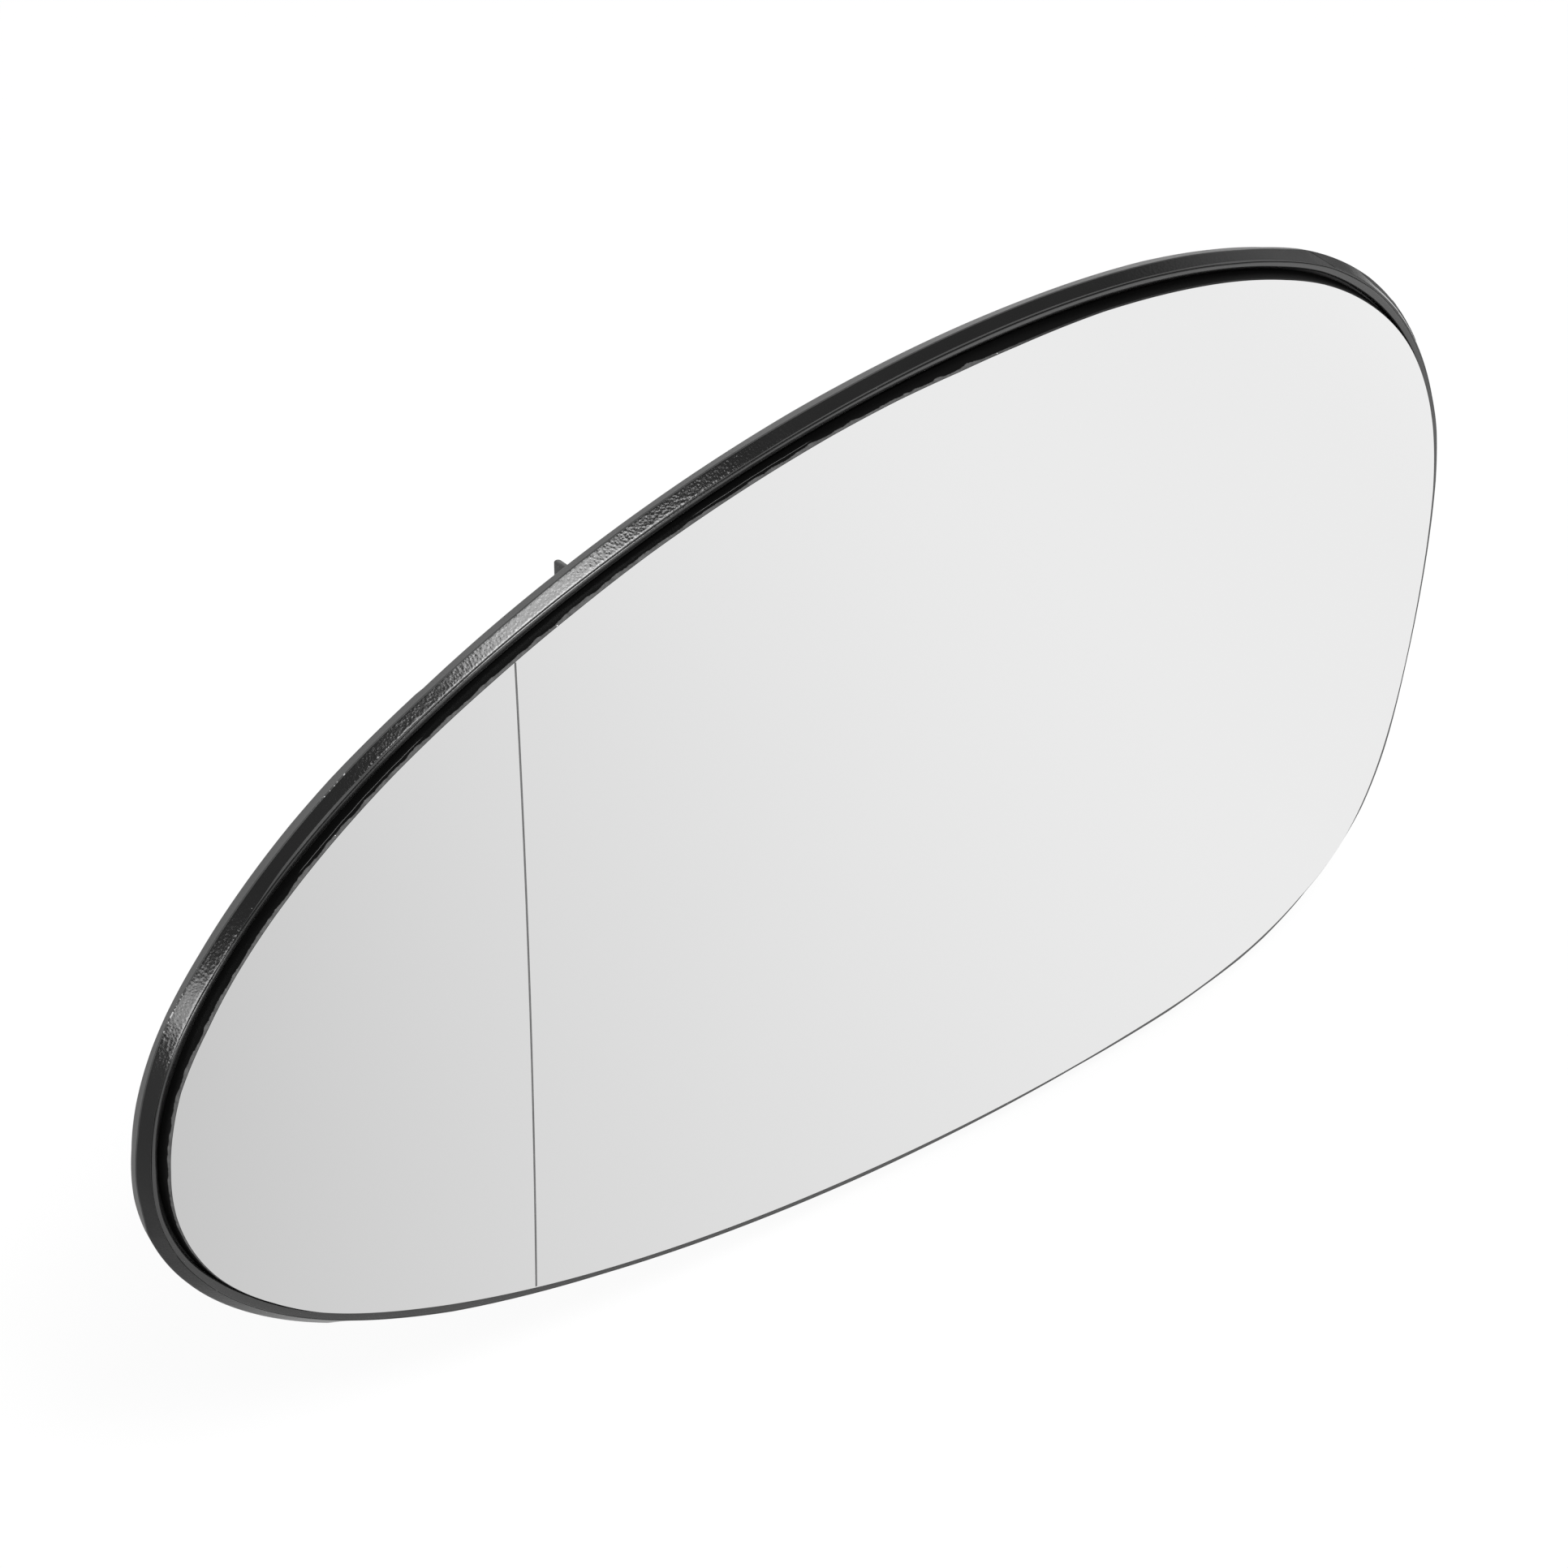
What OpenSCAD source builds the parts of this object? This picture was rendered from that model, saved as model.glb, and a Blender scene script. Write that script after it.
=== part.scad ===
// Door mirror glass of a left-hand car mirror: a convex pane with a tighter curved outer end,
// bonded by a film pad into the stepped rim of a moulded carrier, with the adjuster hub behind.
// The face looks along -Y, +Z is up, and the outer end of the glass is at -X.
// The origin lies on the hub axis, in the middle of the catches that grip the mirror's adjuster.

/* [Glass] */
// Width of the pane across its face
glass_w = 175; // [150:1:200]
// Height of the pane
glass_h = 103.8; // [90:0.1:120]
// Thickness of the pane
glass_t = 1.8; // [1.5:0.1:2.4]
// Radius of the convex main face
face_r = 1450; // [1200:50:2200]
// Horizontal radius that the face tightens to at its outer end
outer_end_r = 400; // [300:20:900]
// Width of the tighter zone, from the outer end to the dividing line
outer_zone_w = 43.4; // [30:0.1:55]
// Width of the dividing line
line_w = 0.25; // [0.2:0.05:0.5]
// Depth of the dividing line
line_deep = 0.15; // [0.1:0.05:0.25]

/* [Pad] */
// Thickness of the bonding pad
pad_t = 0.4; // [0.3:0.1:0.8]
// How far the pad stays inside the edge of the face
pad_inset = 1.5; // [1.5:0.1:2.5]

/* [Carrier] */
// Thickness of the back plate
plate_t = 1.5; // [1.3:0.1:2]
// How far the face stands in front of the rim's flat land
face_proud = 1.08; // [1:0.02:1.5]
// Depth of the rim from the face to its widest line
rim_wide_deep = 2.4; // [2.2:0.05:2.8]
// How far the rim's widest line stands outside the face
rim_out = 2.75; // [2.4:0.05:3.2]
// How far the land's outer edge stands outside the face
land_out = 1.65; // [1.4:0.05:1.9]
// How far the pocket wall stands outside the face
pocket_out = 0.72; // [0.65:0.01:0.9]

/* [Back ribs] */
// Width of the ribs
rib_w = 1.2; // [1:0.1:1.6]
// Height of the ribs' flat tops behind the hub's seat
rib_top = 3.6; // [3.4:0.1:4.5]
// Distance of the ring rib from the edge of the face
ring_rib_inset = 7; // [6:0.25:7.5]

/* [Adjuster hub] */
// Radius inside the claws, above their catches
hub_r = 22; // [20:0.5:24]
// Number of spring claws
claw_count = 8; // [8:2:10]
// Angle that one claw covers
claw_deg = 24; // [20:1:26]
// Height of the claws
claw_h = 9; // [8:0.5:10]
// Wall thickness of the claws
claw_t = 1.5; // [1.2:0.1:1.8]
// How far a catch reaches inwards
catch_in = 0.8; // [0.6:0.1:1]

/* [Spindle sockets] */
// Distance of each socket from the hub axis
socket_reach = 35; // [34:0.5:36]
// Radius of the ball seat
ball_r = 4; // [3.5:0.25:4.25]
// Outer radius of a socket
socket_r = 6.3; // [6:0.1:6.5]
// Height of a socket
socket_h = 8; // [7.5:0.5:9]

/* [Hidden] */
$fn = 96;

// Outward direction in degrees, counted from the inner end over the top, and the radius to
// which the outline bends there. The outline runs smoothly from each radius to the next.
BENDS = [
    [0, 83], [10, 32], [20, 46], [30, 32], [45, 49], [60, 44], [75, 100], [90, 157],
    [105, 149], [120, 94], [135, 61], [155, 38], [180, 29], [215, 27], [240, 61], [255, 185],
    [265, 347], [275, 85], [285, 59], [300, 24], [315, 17], [330, 26], [345, 51], [352, 190],
    [360, 83]
];

// Outline of the face: fine steps of one direction each, summed up, with the part of the radii
// that would leave the curve open taken out
FINE = 1440;
SIDES = 120;
fine_step = 360 / FINE;
function column(v, k) = [for (e = v) e[k]];
fine_dirs = [for (k = [0:FINE - 1]) (k + 0.5) * fine_step];
fine_cos = [for (d = fine_dirs) cos(d)];
fine_sin = [for (d = fine_dirs) sin(d)];
bends = [for (d = fine_dirs) lookup(d, BENDS)];
open_x = 2 * (bends * fine_cos) / FINE;
open_z = 2 * (bends * fine_sin) / FINE;
closed_bends = bends - open_x * fine_cos - open_z * fine_sin;
step_rad = fine_step * PI / 180;
steps = [for (k = [0:FINE - 1]) closed_bends[k] * step_rad * [-fine_sin[k], fine_cos[k]]];
raw = [for (k = 0, p = [0, 0]; k < FINE; p = p + steps[k], k = k + 1) p];
low = [min(column(raw, 0)), min(column(raw, 1))];
high = [max(column(raw, 0)), max(column(raw, 1))];
fit = [glass_w / (high.x - low.x), glass_h / (high.y - low.y)];
function fitted(p) = [(p.x - (low.x + high.x) / 2) * fit.x, (p.y - (low.y + high.y) / 2) * fit.y];
function unit(v) = v / norm(v);
function edge_at(dir) = fitted(raw[dir / fine_step]);
function out_at(dir) = unit([cos(dir) / fit.x, sin(dir) / fit.y]);

// Corners of the outline, closer in direction where it bends less, so that all sides
// stay equally near the true curve
ease = [for (k = 0, sum = 0; k <= FINE; sum = sum + sqrt(closed_bends[k % FINE]), k = k + 1) [sum, k]];
corner_dirs = [for (i = [0:SIDES - 1]) round(lookup(i * ease[FINE][0] / SIDES, ease)) * fine_step];
face_edge = [for (dir = corner_dirs) edge_at(dir)];
edge_out = [for (dir = corner_dirs) out_at(dir)];
function outline(out = 0) = face_edge + out * edge_out;

// Depth of the face behind its foremost point: a sphere, and outside the dividing line
// a bend that grows evenly to the tighter radius of the outer end
line_x = outer_zone_w - glass_w / 2;
end_bend = 1 / outer_end_r - 1 / face_r;
function past_line(x) = max(0, line_x - x);
function sphere_deep(x, z) = face_r - sqrt(face_r * face_r - x * x - z * z);
function face_deep(x, z) = sphere_deep(x, z) + end_bend * pow(past_line(x), 3) / (6 * outer_zone_w);

// Depths from the face, with the back of the plate at y = 0 on the hub axis
floor_deep = glass_t + pad_t;
back_deep = floor_deep + plate_t;
function on_face(p, deep) = [p.x, face_deep(p.x, p.y) + deep - back_deep, p.y];
function ring(out, deep) = [for (p = outline(out)) on_face(p, deep)];
function inner_ring(scale, deep) = [for (p = outline(-pad_inset)) on_face(p * scale, deep)];
INNER = [0.18, 0.45, 0.73];
function front_rings(deep) = [for (s = INNER) inner_ring(s, deep)];
function back_rings(deep) = [for (k = [len(INNER) - 1:-1:0]) inner_ring(INNER[k], deep)];

// A closed solid through a row of rings, from its front middle over its edge to its back middle
module ringed_solid(rings, front_deep, rear_deep) {
    rows = len(rings);
    turn = len(INNER) + 1;
    tail = 1 + rows * SIDES;
    points = [on_face([0, 0], front_deep), for (r = rings) each r, on_face([0, 0], rear_deep)];
    front_fan = [for (i = [0:SIDES - 1]) [0, 1 + (i + 1) % SIDES, 1 + i]];
    bands = [for (j = [0:rows - 2], i = [0:SIDES - 1])
        let (a = 1 + j * SIDES + i, b = 1 + j * SIDES + (i + 1) % SIDES)
        each (j < turn
            ? [[a, b + SIDES, a + SIDES], [a, b, b + SIDES]]
            : [[a, b, a + SIDES], [b, b + SIDES, a + SIDES]])];
    rear_fan = [for (i = [0:SIDES - 1])
        [tail, tail - SIDES + i, tail - SIDES + (i + 1) % SIDES]];
    polyhedron(points, concat(front_fan, bands, rear_fan), convexity = 6);
}

// The pane, with its ground front corner and its edge that leans out towards the back
ARRIS = [0.1, 0.27];
GLASS_EDGE_OUT = 0.4;
GLASS_BACK_CORNER = 0.15;
LINE_STEPS = 24;

module pane() {
    rings = concat(
        front_rings(0),
        [ring(-pad_inset, 0)],
        [ring(0, 0)],
        [ring(ARRIS.x, ARRIS.y)],
        [ring(GLASS_EDGE_OUT, glass_t - GLASS_BACK_CORNER)],
        [ring(GLASS_EDGE_OUT - GLASS_BACK_CORNER, glass_t)],
        [ring(-pad_inset, glass_t)],
        back_rings(glass_t));
    ringed_solid(rings, 0, glass_t);
}

module dividing_groove() {
    z_reach = glass_h / 2 + 5;
    in_front = -2;
    corners = [[-line_w / 2, in_front], [line_w / 2, in_front], [line_w / 2, line_deep], [-line_w / 2, line_deep]];
    points = [for (k = [0:LINE_STEPS], c = corners)
        on_face([line_x + c.x, z_reach * (2 * k / LINE_STEPS - 1)], c.y)];
    walls = [for (k = [0:LINE_STEPS - 1], i = [0:3])
        let (a = 4 * k + i, b = 4 * k + (i + 1) % 4)
        each [[a, a + 4, b], [b, a + 4, b + 4]]];
    top = 4 * LINE_STEPS;
    polyhedron(points, concat([[0, 1, 2, 3]], walls, [[top + 3, top + 2, top + 1, top]]), convexity = 4);
}

module mirror_glass() {
    color([0.84, 0.86, 0.88])
    difference() {
        pane();
        dividing_groove();
    }
}

module bonding_pad() {
    rings = concat(
        front_rings(glass_t),
        [ring(-pad_inset, glass_t)],
        [ring(-pad_inset, floor_deep)],
        back_rings(floor_deep));
    color([0.2, 0.2, 0.21])
    ringed_solid(rings, glass_t, floor_deep);
}

// Section of the rim, as how far outside the face and how deep behind it
RIM_REAR_LEAN = 0.22;
RIM_REAR_LIP = 0.12;
SOFT = 0.14;
rim_section = [
    [pocket_out, floor_deep],
    [pocket_out, face_proud + SOFT],
    [pocket_out + SOFT, face_proud],
    [land_out - SOFT, face_proud],
    [land_out + SOFT / 2, face_proud + SOFT / 2],
    [rim_out - SOFT, rim_wide_deep - SOFT],
    [rim_out, rim_wide_deep + SOFT],
    [rim_out - RIM_REAR_LEAN, back_deep - RIM_REAR_LIP - SOFT],
    [rim_out - RIM_REAR_LEAN - 2 * SOFT, back_deep - RIM_REAR_LIP],
    [land_out, back_deep]
];

// Where the skirt is slimmer: the direction, how many degrees that reaches to both sides, and
// how much of the width is off at its middle
SLIMMER = [[35, 50, 0.5], [205, 50, 0.3]];
function degrees_between(a, b) = abs((a - b + 540) % 360 - 180);
function slimmer(dir) =
    [for (s = SLIMMER) s[2] * cos(90 * min(1, degrees_between(dir, s[0]) / s[1]))] * [1, 1];
function on_skirt(out) = out > land_out + SOFT ? 1 : 0;
function rim_ring(s) = [for (i = [0:SIDES - 1])
    on_face(face_edge[i] + (s.x - on_skirt(s.x) * slimmer(corner_dirs[i])) * edge_out[i], s.y)];

module plate_and_rim() {
    rings = concat(
        front_rings(floor_deep),
        [ring(-pad_inset, floor_deep)],
        [for (s = rim_section) rim_ring(s)],
        [ring(-pad_inset, back_deep)],
        back_rings(back_deep));
    ringed_solid(rings, floor_deep, back_deep);
}

// Solids drawn on the XZ plane and drawn out along Y, and turned about the Y axis
module along_y(from, to) {
    translate([0, to, 0])
    rotate([90, 0, 0])
    linear_extrude(to - from, convexity = 10)
    children();
}

module about_y(deg = 360, middle = 0) {
    rotate([0, -middle, 0])
    rotate([-90, 0, 0])
    rotate([0, 0, -deg / 2])
    rotate_extrude(angle = deg, convexity = 4)
    children();
}

// Keeps what lies behind the middle of the plate, with a bowl turned about the hub axis
BOWL_STEP = 8;
BOWL_R = 112;

module behind_plate() {
    intersection() {
        children();
        about_y()
        polygon([
            for (r = [0:BOWL_STEP:BOWL_R]) [r, sphere_deep(r, 0) - plate_t / 2],
            [BOWL_R, BOWL_R],
            [0, BOWL_R]
        ]);
    }
}

// Ribs: a ring near the edge, spokes from the hub, and one upright across each wing
hub_out_r = hub_r + claw_t;
CROSS_RIB_X = [-52, 60];
spoke_dirs = concat(
    [for (k = [0:claw_count - 1]) (k + 0.5) * 360 / claw_count],
    [0, 180, 270]);

module spoke(dir) {
    rotate(dir)
    translate([hub_out_r - claw_t / 2, -rib_w / 2])
    square([glass_w, rib_w]);
}

module rib_plan() {
    intersection() {
        polygon(outline(-ring_rib_inset));
        union() {
            difference() {
                polygon(outline(-ring_rib_inset));
                polygon(outline(-ring_rib_inset - rib_w));
            }
            for (dir = spoke_dirs) spoke(dir);
            for (x = CROSS_RIB_X)
                translate([x - rib_w / 2, -glass_h])
                square([rib_w, 2 * glass_h]);
        }
    }
}

module ribs() {
    behind_plate()
    along_y(-plate_t, rib_top)
    rib_plan();
}

// Hub: a low collar with spring claws, whose catches point inwards
CATCH_LAND = 0.9;
CATCH_LEAD = 1.4;
COLLAR_BACK = 0.3;
catch_y = claw_h - CATCH_LEAD - CATCH_LAND;
pitch = 360 / claw_count;

module claw() {
    polygon([
        [hub_r, -plate_t / 2],
        [hub_out_r, -plate_t / 2],
        [hub_out_r, claw_h - 0.4],
        [hub_out_r - 0.4, claw_h],
        [hub_r, claw_h],
        [hub_r - catch_in, claw_h - CATCH_LEAD],
        [hub_r - catch_in, catch_y],
        [hub_r, catch_y - catch_in / 2]
    ]);
}

module hub() {
    about_y()
    translate([hub_r + COLLAR_BACK, -plate_t / 2])
    square([claw_t - 2 * COLLAR_BACK, rib_top + plate_t / 2]);
    for (k = [0:claw_count - 1])
        about_y(claw_deg, k * pitch)
        claw();
}

// Openings in the plate under the catches, left by the mould's cores
WINDOW_SHORTER_DEG = 2;
WINDOW_GAP = 0.1;

module core_windows() {
    for (k = [0:claw_count - 1])
        about_y(claw_deg - WINDOW_SHORTER_DEG, k * pitch)
        translate([hub_r - catch_in - 3 * WINDOW_GAP, -2 * plate_t])
        square([catch_in + 2 * WINDOW_GAP, 3 * plate_t]);
}

// Sockets for the adjuster's two ball-ended spindles
SLIT_W = 1.2;
SLIT_FLOOR = 2.4;
MOUTH = 0.6;
SOCKET_SPOTS = [[socket_reach, 0], [0, -socket_reach]];

module socket_body() {
    about_y()
    polygon([
        [0, -plate_t / 3],
        [socket_r + 0.8, -plate_t / 3],
        [socket_r + 0.8, 0.6],
        [socket_r, 1.6],
        [socket_r, socket_h - 0.5],
        [socket_r - 0.5, socket_h],
        [0, socket_h]
    ]);
}

module ball_seat() {
    seat_y = ball_r + 0.6;
    about_y()
    intersection() {
        union() {
            translate([0, seat_y])
            circle(ball_r);
            polygon([
                [0, seat_y],
                [ball_r, seat_y],
                [ball_r, socket_h - MOUTH],
                [ball_r + MOUTH, socket_h],
                [ball_r + MOUTH, socket_h + 1],
                [0, socket_h + 1]
            ]);
        }
        square([2 * ball_r, 2 * socket_h]);
    }
}

module socket_slits() {
    for (turn = [45, 135])
        rotate([0, turn, 0])
        translate([-socket_r - 1, SLIT_FLOOR, -SLIT_W / 2])
        cube([2 * socket_r + 2, socket_h, SLIT_W]);
}

module at_sockets() {
    for (s = SOCKET_SPOTS)
        translate([s.x, sphere_deep(s.x, s.y), s.y])
        children();
}

// Guide fin behind the upper edge, and the nib on the rim's upper inner corner
FIN_X = -32.5;
FIN_W = 1.3;
FIN_TOP_Z = 44;
FIN_FOOT_Z = 37.8;
FIN_TIP_Y = 5.7;
NIB_DIR = 37;
NIB_L = 1.8;
NIB_PROUD = 0.2;
NIB_DEEP = [2.7, 3.4];

module guide_fin() {
    behind_plate()
    translate([FIN_X, 0, FIN_FOOT_Z])
    linear_extrude(FIN_TOP_Z - FIN_FOOT_Z)
    union() {
        translate([-FIN_W / 2, -plate_t])
        square([FIN_W, FIN_TIP_Y - FIN_W / 2 + plate_t]);
        translate([0, FIN_TIP_Y - FIN_W / 2])
        circle(FIN_W / 2);
    }
}

module corner_nib() {
    spot = edge_at(NIB_DIR) + (rim_out - slimmer(NIB_DIR)) * out_at(NIB_DIR);
    front = on_face(spot, NIB_DEEP[0]);
    translate(front)
    rotate([0, -NIB_DIR, 0])
    translate([-0.6, 0, -NIB_L / 2])
    cube([0.6 + NIB_PROUD, NIB_DEEP[1] - NIB_DEEP[0], NIB_L]);
}

module carrier() {
    color([0.08, 0.08, 0.09])
    difference() {
        union() {
            plate_and_rim();
            ribs();
            hub();
            at_sockets() socket_body();
            guide_fin();
            corner_nib();
        }
        core_windows();
        at_sockets() ball_seat();
        at_sockets() socket_slits();
    }
}

// Moves the whole unit so that the middle of the catches lies in the origin
grip_y = catch_y + CATCH_LAND / 2;

module from_grip() {
    translate([0, -grip_y, 0])
    children();
}

from_grip() mirror_glass();
from_grip() bonding_pad();
from_grip() carrier();
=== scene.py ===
import math
import bmesh
import bpy
from mathutils import Matrix, Vector


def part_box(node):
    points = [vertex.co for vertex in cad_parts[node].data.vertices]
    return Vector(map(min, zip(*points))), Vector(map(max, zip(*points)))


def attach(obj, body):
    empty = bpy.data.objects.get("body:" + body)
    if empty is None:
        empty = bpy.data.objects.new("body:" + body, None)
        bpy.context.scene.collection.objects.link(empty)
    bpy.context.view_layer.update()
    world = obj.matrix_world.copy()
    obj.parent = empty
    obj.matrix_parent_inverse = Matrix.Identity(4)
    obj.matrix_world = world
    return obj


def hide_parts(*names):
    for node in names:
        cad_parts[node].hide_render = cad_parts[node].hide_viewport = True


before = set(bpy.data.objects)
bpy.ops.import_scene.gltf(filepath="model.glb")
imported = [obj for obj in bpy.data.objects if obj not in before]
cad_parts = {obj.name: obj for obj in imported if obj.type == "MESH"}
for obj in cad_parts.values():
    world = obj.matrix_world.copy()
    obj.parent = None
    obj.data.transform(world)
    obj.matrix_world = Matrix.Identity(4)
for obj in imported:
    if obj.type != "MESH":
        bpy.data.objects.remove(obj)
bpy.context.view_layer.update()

MM = 0.001

# Sizes of the unit in millimetres, outwards from the edge of the face and back from the face
GLASS_T = 1.8
PAD_T = 0.4
PLATE_T = 1.5
FLOOR_DEEP = GLASS_T + PAD_T
BACK_DEEP = FLOOR_DEEP + PLATE_T
GLASS_EDGE_OUT = 0.4
GLASS_BACK_CORNER = 0.15
ARRIS = (0.1, 0.27)
INSET = 1.5
FACE_R = 1450
OUTER_END_R = 400
OUTER_ZONE_W = 43.4
POCKET_OUT = 0.72
FACE_PROUD = 1.08
LAND_OUT = 1.65
RIM_OUT = 2.75
RIM_WIDE_DEEP = 2.4
RIM_REAR = (2.53, BACK_DEEP - 0.12)

# Places that the frame gives
pane_low, pane_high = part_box("mirror_glass")
carrier_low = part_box("carrier")[0]
GLASS_W = (pane_high[0] - pane_low[0]) / MM - 2 * GLASS_EDGE_OUT
GLASS_H = (pane_high[2] - pane_low[2]) / MM - 2 * GLASS_EDGE_OUT
FACE_Y = pane_low[1] / MM
BACK_Y = FACE_Y + BACK_DEEP
LINE_X = OUTER_ZONE_W - GLASS_W / 2

# Outward direction in degrees, counted from the inner end over the top, and the radius to
# which the outline bends there
BENDS = [
    (0, 83), (10, 32), (20, 46), (30, 32), (45, 49), (60, 44), (75, 100), (90, 157),
    (105, 149), (120, 94), (135, 61), (155, 38), (180, 29), (215, 27), (240, 61), (255, 185),
    (265, 347), (275, 85), (285, 59), (300, 24), (315, 17), (330, 26), (345, 51), (352, 190),
    (360, 83),
]
# Where the rim is slimmer: the direction, how many degrees that reaches, and by how much
SLIMMER = [(35, 50, 0.5), (205, 50, 0.3)]
FINE = 1440
OUTLINE_SKIP = 2


def between(table, place):
    """Value at a place of a table of places and values."""
    for (low, a), (high, b) in zip(table, table[1:]):
        if place <= high:
            return a + (b - a) * (place - low) / (high - low)
    return table[-1][1]


def outline_points():
    """The edge of the face: each point with its outward direction and its angle, in millimetres."""
    step = math.radians(360 / FINE)
    turns = [(k + 0.5) * step for k in range(FINE)]
    bends = [between(BENDS, math.degrees(t)) for t in turns]
    open_x = 2 * sum(b * math.cos(t) for b, t in zip(bends, turns)) / FINE
    open_z = 2 * sum(b * math.sin(t) for b, t in zip(bends, turns)) / FINE
    x, z, raw = 0.0, 0.0, []
    for b, t in zip(bends, turns):
        raw.append((x, z))
        closed = b - open_x * math.cos(t) - open_z * math.sin(t)
        x -= closed * step * math.sin(t)
        z += closed * step * math.cos(t)
    low = [min(p[i] for p in raw) for i in (0, 1)]
    high = [max(p[i] for p in raw) for i in (0, 1)]
    fit = (GLASS_W / (high[0] - low[0]), GLASS_H / (high[1] - low[1]))
    points = []
    for k in range(0, FINE, OUTLINE_SKIP):
        angle = k * step
        place = [(raw[k][i] - (low[i] + high[i]) / 2) * fit[i] for i in (0, 1)]
        outward = Vector((math.cos(angle) / fit[0], math.sin(angle) / fit[1])).normalized()
        points.append((Vector(place), outward, angle))
    return points


OUTLINE = outline_points()


# How far each line along the rim strays from its even place, in steps of 0.05 mm at directions
# in degrees, as a thin moulding and a hand-ground pane do. The land and the skirt's top stray
# together round the inner end and along the foot.
INNER_END = [(0, 0.3), (6, 0.2), (10, 0.05), (14, -0.05), (28, -0.05), (38, 0.05)]
ALONG_FOOT = [
    (249, 0.2), (256, -0.05), (264, 0.15), (270, 0.0), (276, 0.4), (280, 0.5), (285, 0.8), (289, 0.8),
    (294, 0.55), (300, 0.25), (320, 0.25), (330, 0.45), (341, 0.35), (350, 0.15), (360, 0.3)]
STRAYS = {
    "face": [
        (0, 0.25), (6, 0.1), (12, 0.0), (30, -0.05), (57, -0.1), (65, -0.15), (72, -0.05), (82, 0.0),
        (87, -0.25), (90, -0.25), (93, 0.0), (96, 0.1), (105, 0.15), (109, 0.0), (114, -0.05),
        (121, 0.1), (135, 0.1), (142, 0.05), (149, -0.05), (160, 0.2), (168, 0.05), (177, -0.05),
        (189, 0.05), (204, 0.0), (228, 0.0), (236, 0.15), (246, 0.05), (272, 0.1), (277, 0.3),
        (286, 0.45), (291, 0.3), (297, 0.05), (345, 0.05), (360, 0.25)],
    "pocket": [
        (0, 0.0), (20, -0.1), (31, -0.25), (38, -0.2), (50, -0.05), (57, 0.05), (65, -0.05), (80, 0.1),
        (97, 0.1), (112, 0.0), (118, 0.05), (122, 0.25), (127, 0.3), (141, 0.15), (152, 0.3),
        (160, 0.25), (168, 0.1), (178, -0.1), (190, 0.05), (205, -0.15), (216, -0.4), (225, -0.4),
        (235, -0.1), (250, 0.05), (360, 0.0)],
    "land": INNER_END + [
        (45, 0.2), (55, 0.2), (65, 0.0), (71, -0.05), (79, 0.1), (90, 0.05), (130, 0.05), (143, -0.1),
        (155, 0.1), (165, 0.05), (175, -0.05), (187, 0.05), (195, 0.05), (212, -0.15),
        (240, 0.05)] + ALONG_FOOT,
    "skirt": INNER_END + [
        (50, 0.2), (55, 0.1), (60, 0.0), (64, -0.05), (195, 0.0), (203, -0.25), (211, -0.35),
        (225, -0.2), (241, 0.0)] + ALONG_FOOT,
    "widest": [
        (0, 0.0), (30, 0.0), (38, 0.1), (45, 0.25), (50, 0.25), (60, 0.2), (64, -0.05), (110, -0.1),
        (140, -0.1), (187, -0.05), (195, 0.15), (213, 0.05), (230, 0.15), (240, 0.2), (243, -0.2),
        (248, 0.05), (255, 0.0), (360, 0.0)],
    "rear": [
        (0, 0.0), (56, 0.1), (60, 0.1), (66, -0.15), (72, -0.15), (78, -0.1), (85, -0.25), (97, -0.1),
        (102, -0.15), (108, -0.25), (116.6, -0.35), (116.9, -0.25), (124, 0.0), (128, 0.0),
        (135, -0.15), (142, -0.25), (150, -0.15), (165, -0.15), (174, -0.2), (186, 0.05),
        (195, 0.1), (205, 0.0), (360, 0.0)],
    "skirt_run": [
        (0, 0.0), (62, 0.0), (79, 0.1), (90, 0.1), (106, 0.0), (116, 0.0), (122, 0.15), (126, 0.2),
        (131, 0.15), (134, 0.0), (141, -0.2), (146, -0.1), (165, -0.1), (175, -0.25), (195, -0.25),
        (203, 0.0), (360, 0.0)],
    "widest_run": [
        (0, 0.0), (64, 0.0), (70, -0.1), (75, 0.0), (95, 0.0), (101, 0.1), (106, 0.05), (111, -0.1),
        (116, -0.1), (121, 0.05), (126, 0.05), (136, -0.05), (141, -0.05), (151, 0.15), (160, 0.0),
        (170, -0.15), (180, -0.05), (190, -0.1), (195, 0.0), (360, 0.0)],
}
# Which way each line strays, outwards and deeper: runs follow the slope of the skirt
SKIRT_WAY = (0.608, 0.794)
WAYS = {line: SKIRT_WAY if line.endswith("_run") else (1, 0) for line in STRAYS}
# How worn the corners are at a direction
WEAR = [(0, 0.1), (58, 0.1), (62, 0.6), (67, 0.1), (117, 0.1), (124, 0.9), (129, 0.5), (134, 0.6),
        (149, 1.0), (157, 0.5), (175, 0.3), (240, 0.3), (250, 0.1), (360, 0.1)]
# How much of the slimmer rim each line takes
SLIMMER_SHARES = {"land": 0.6, "skirt": 0.6, "widest": 1.0, "rear": 1.0}


def slimmer(degrees):
    """How much narrower the rim is at a direction, in millimetres."""
    total = 0.0
    for middle, reach, most in SLIMMER:
        away = abs((degrees - middle + 180) % 360 - 180)
        total += most * math.cos(math.pi / 2 * min(1.0, away / reach))
    return total


def line_move(line, degrees):
    """How far a line of the rim lies from its section's place, in millimetres."""
    return between(STRAYS[line], degrees) - SLIMMER_SHARES.get(line, 0.0) * slimmer(degrees)


def face_deep(x, z):
    """How far the bowed face lies behind its foremost point, in millimetres."""
    square = x * x + z * z
    sphere = square / (FACE_R + math.sqrt(FACE_R * FACE_R - square))
    past = max(0.0, LINE_X - x)
    return sphere + (1 / OUTER_END_R - 1 / FACE_R) * past ** 3 / (6 * OUTER_ZONE_W)


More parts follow.
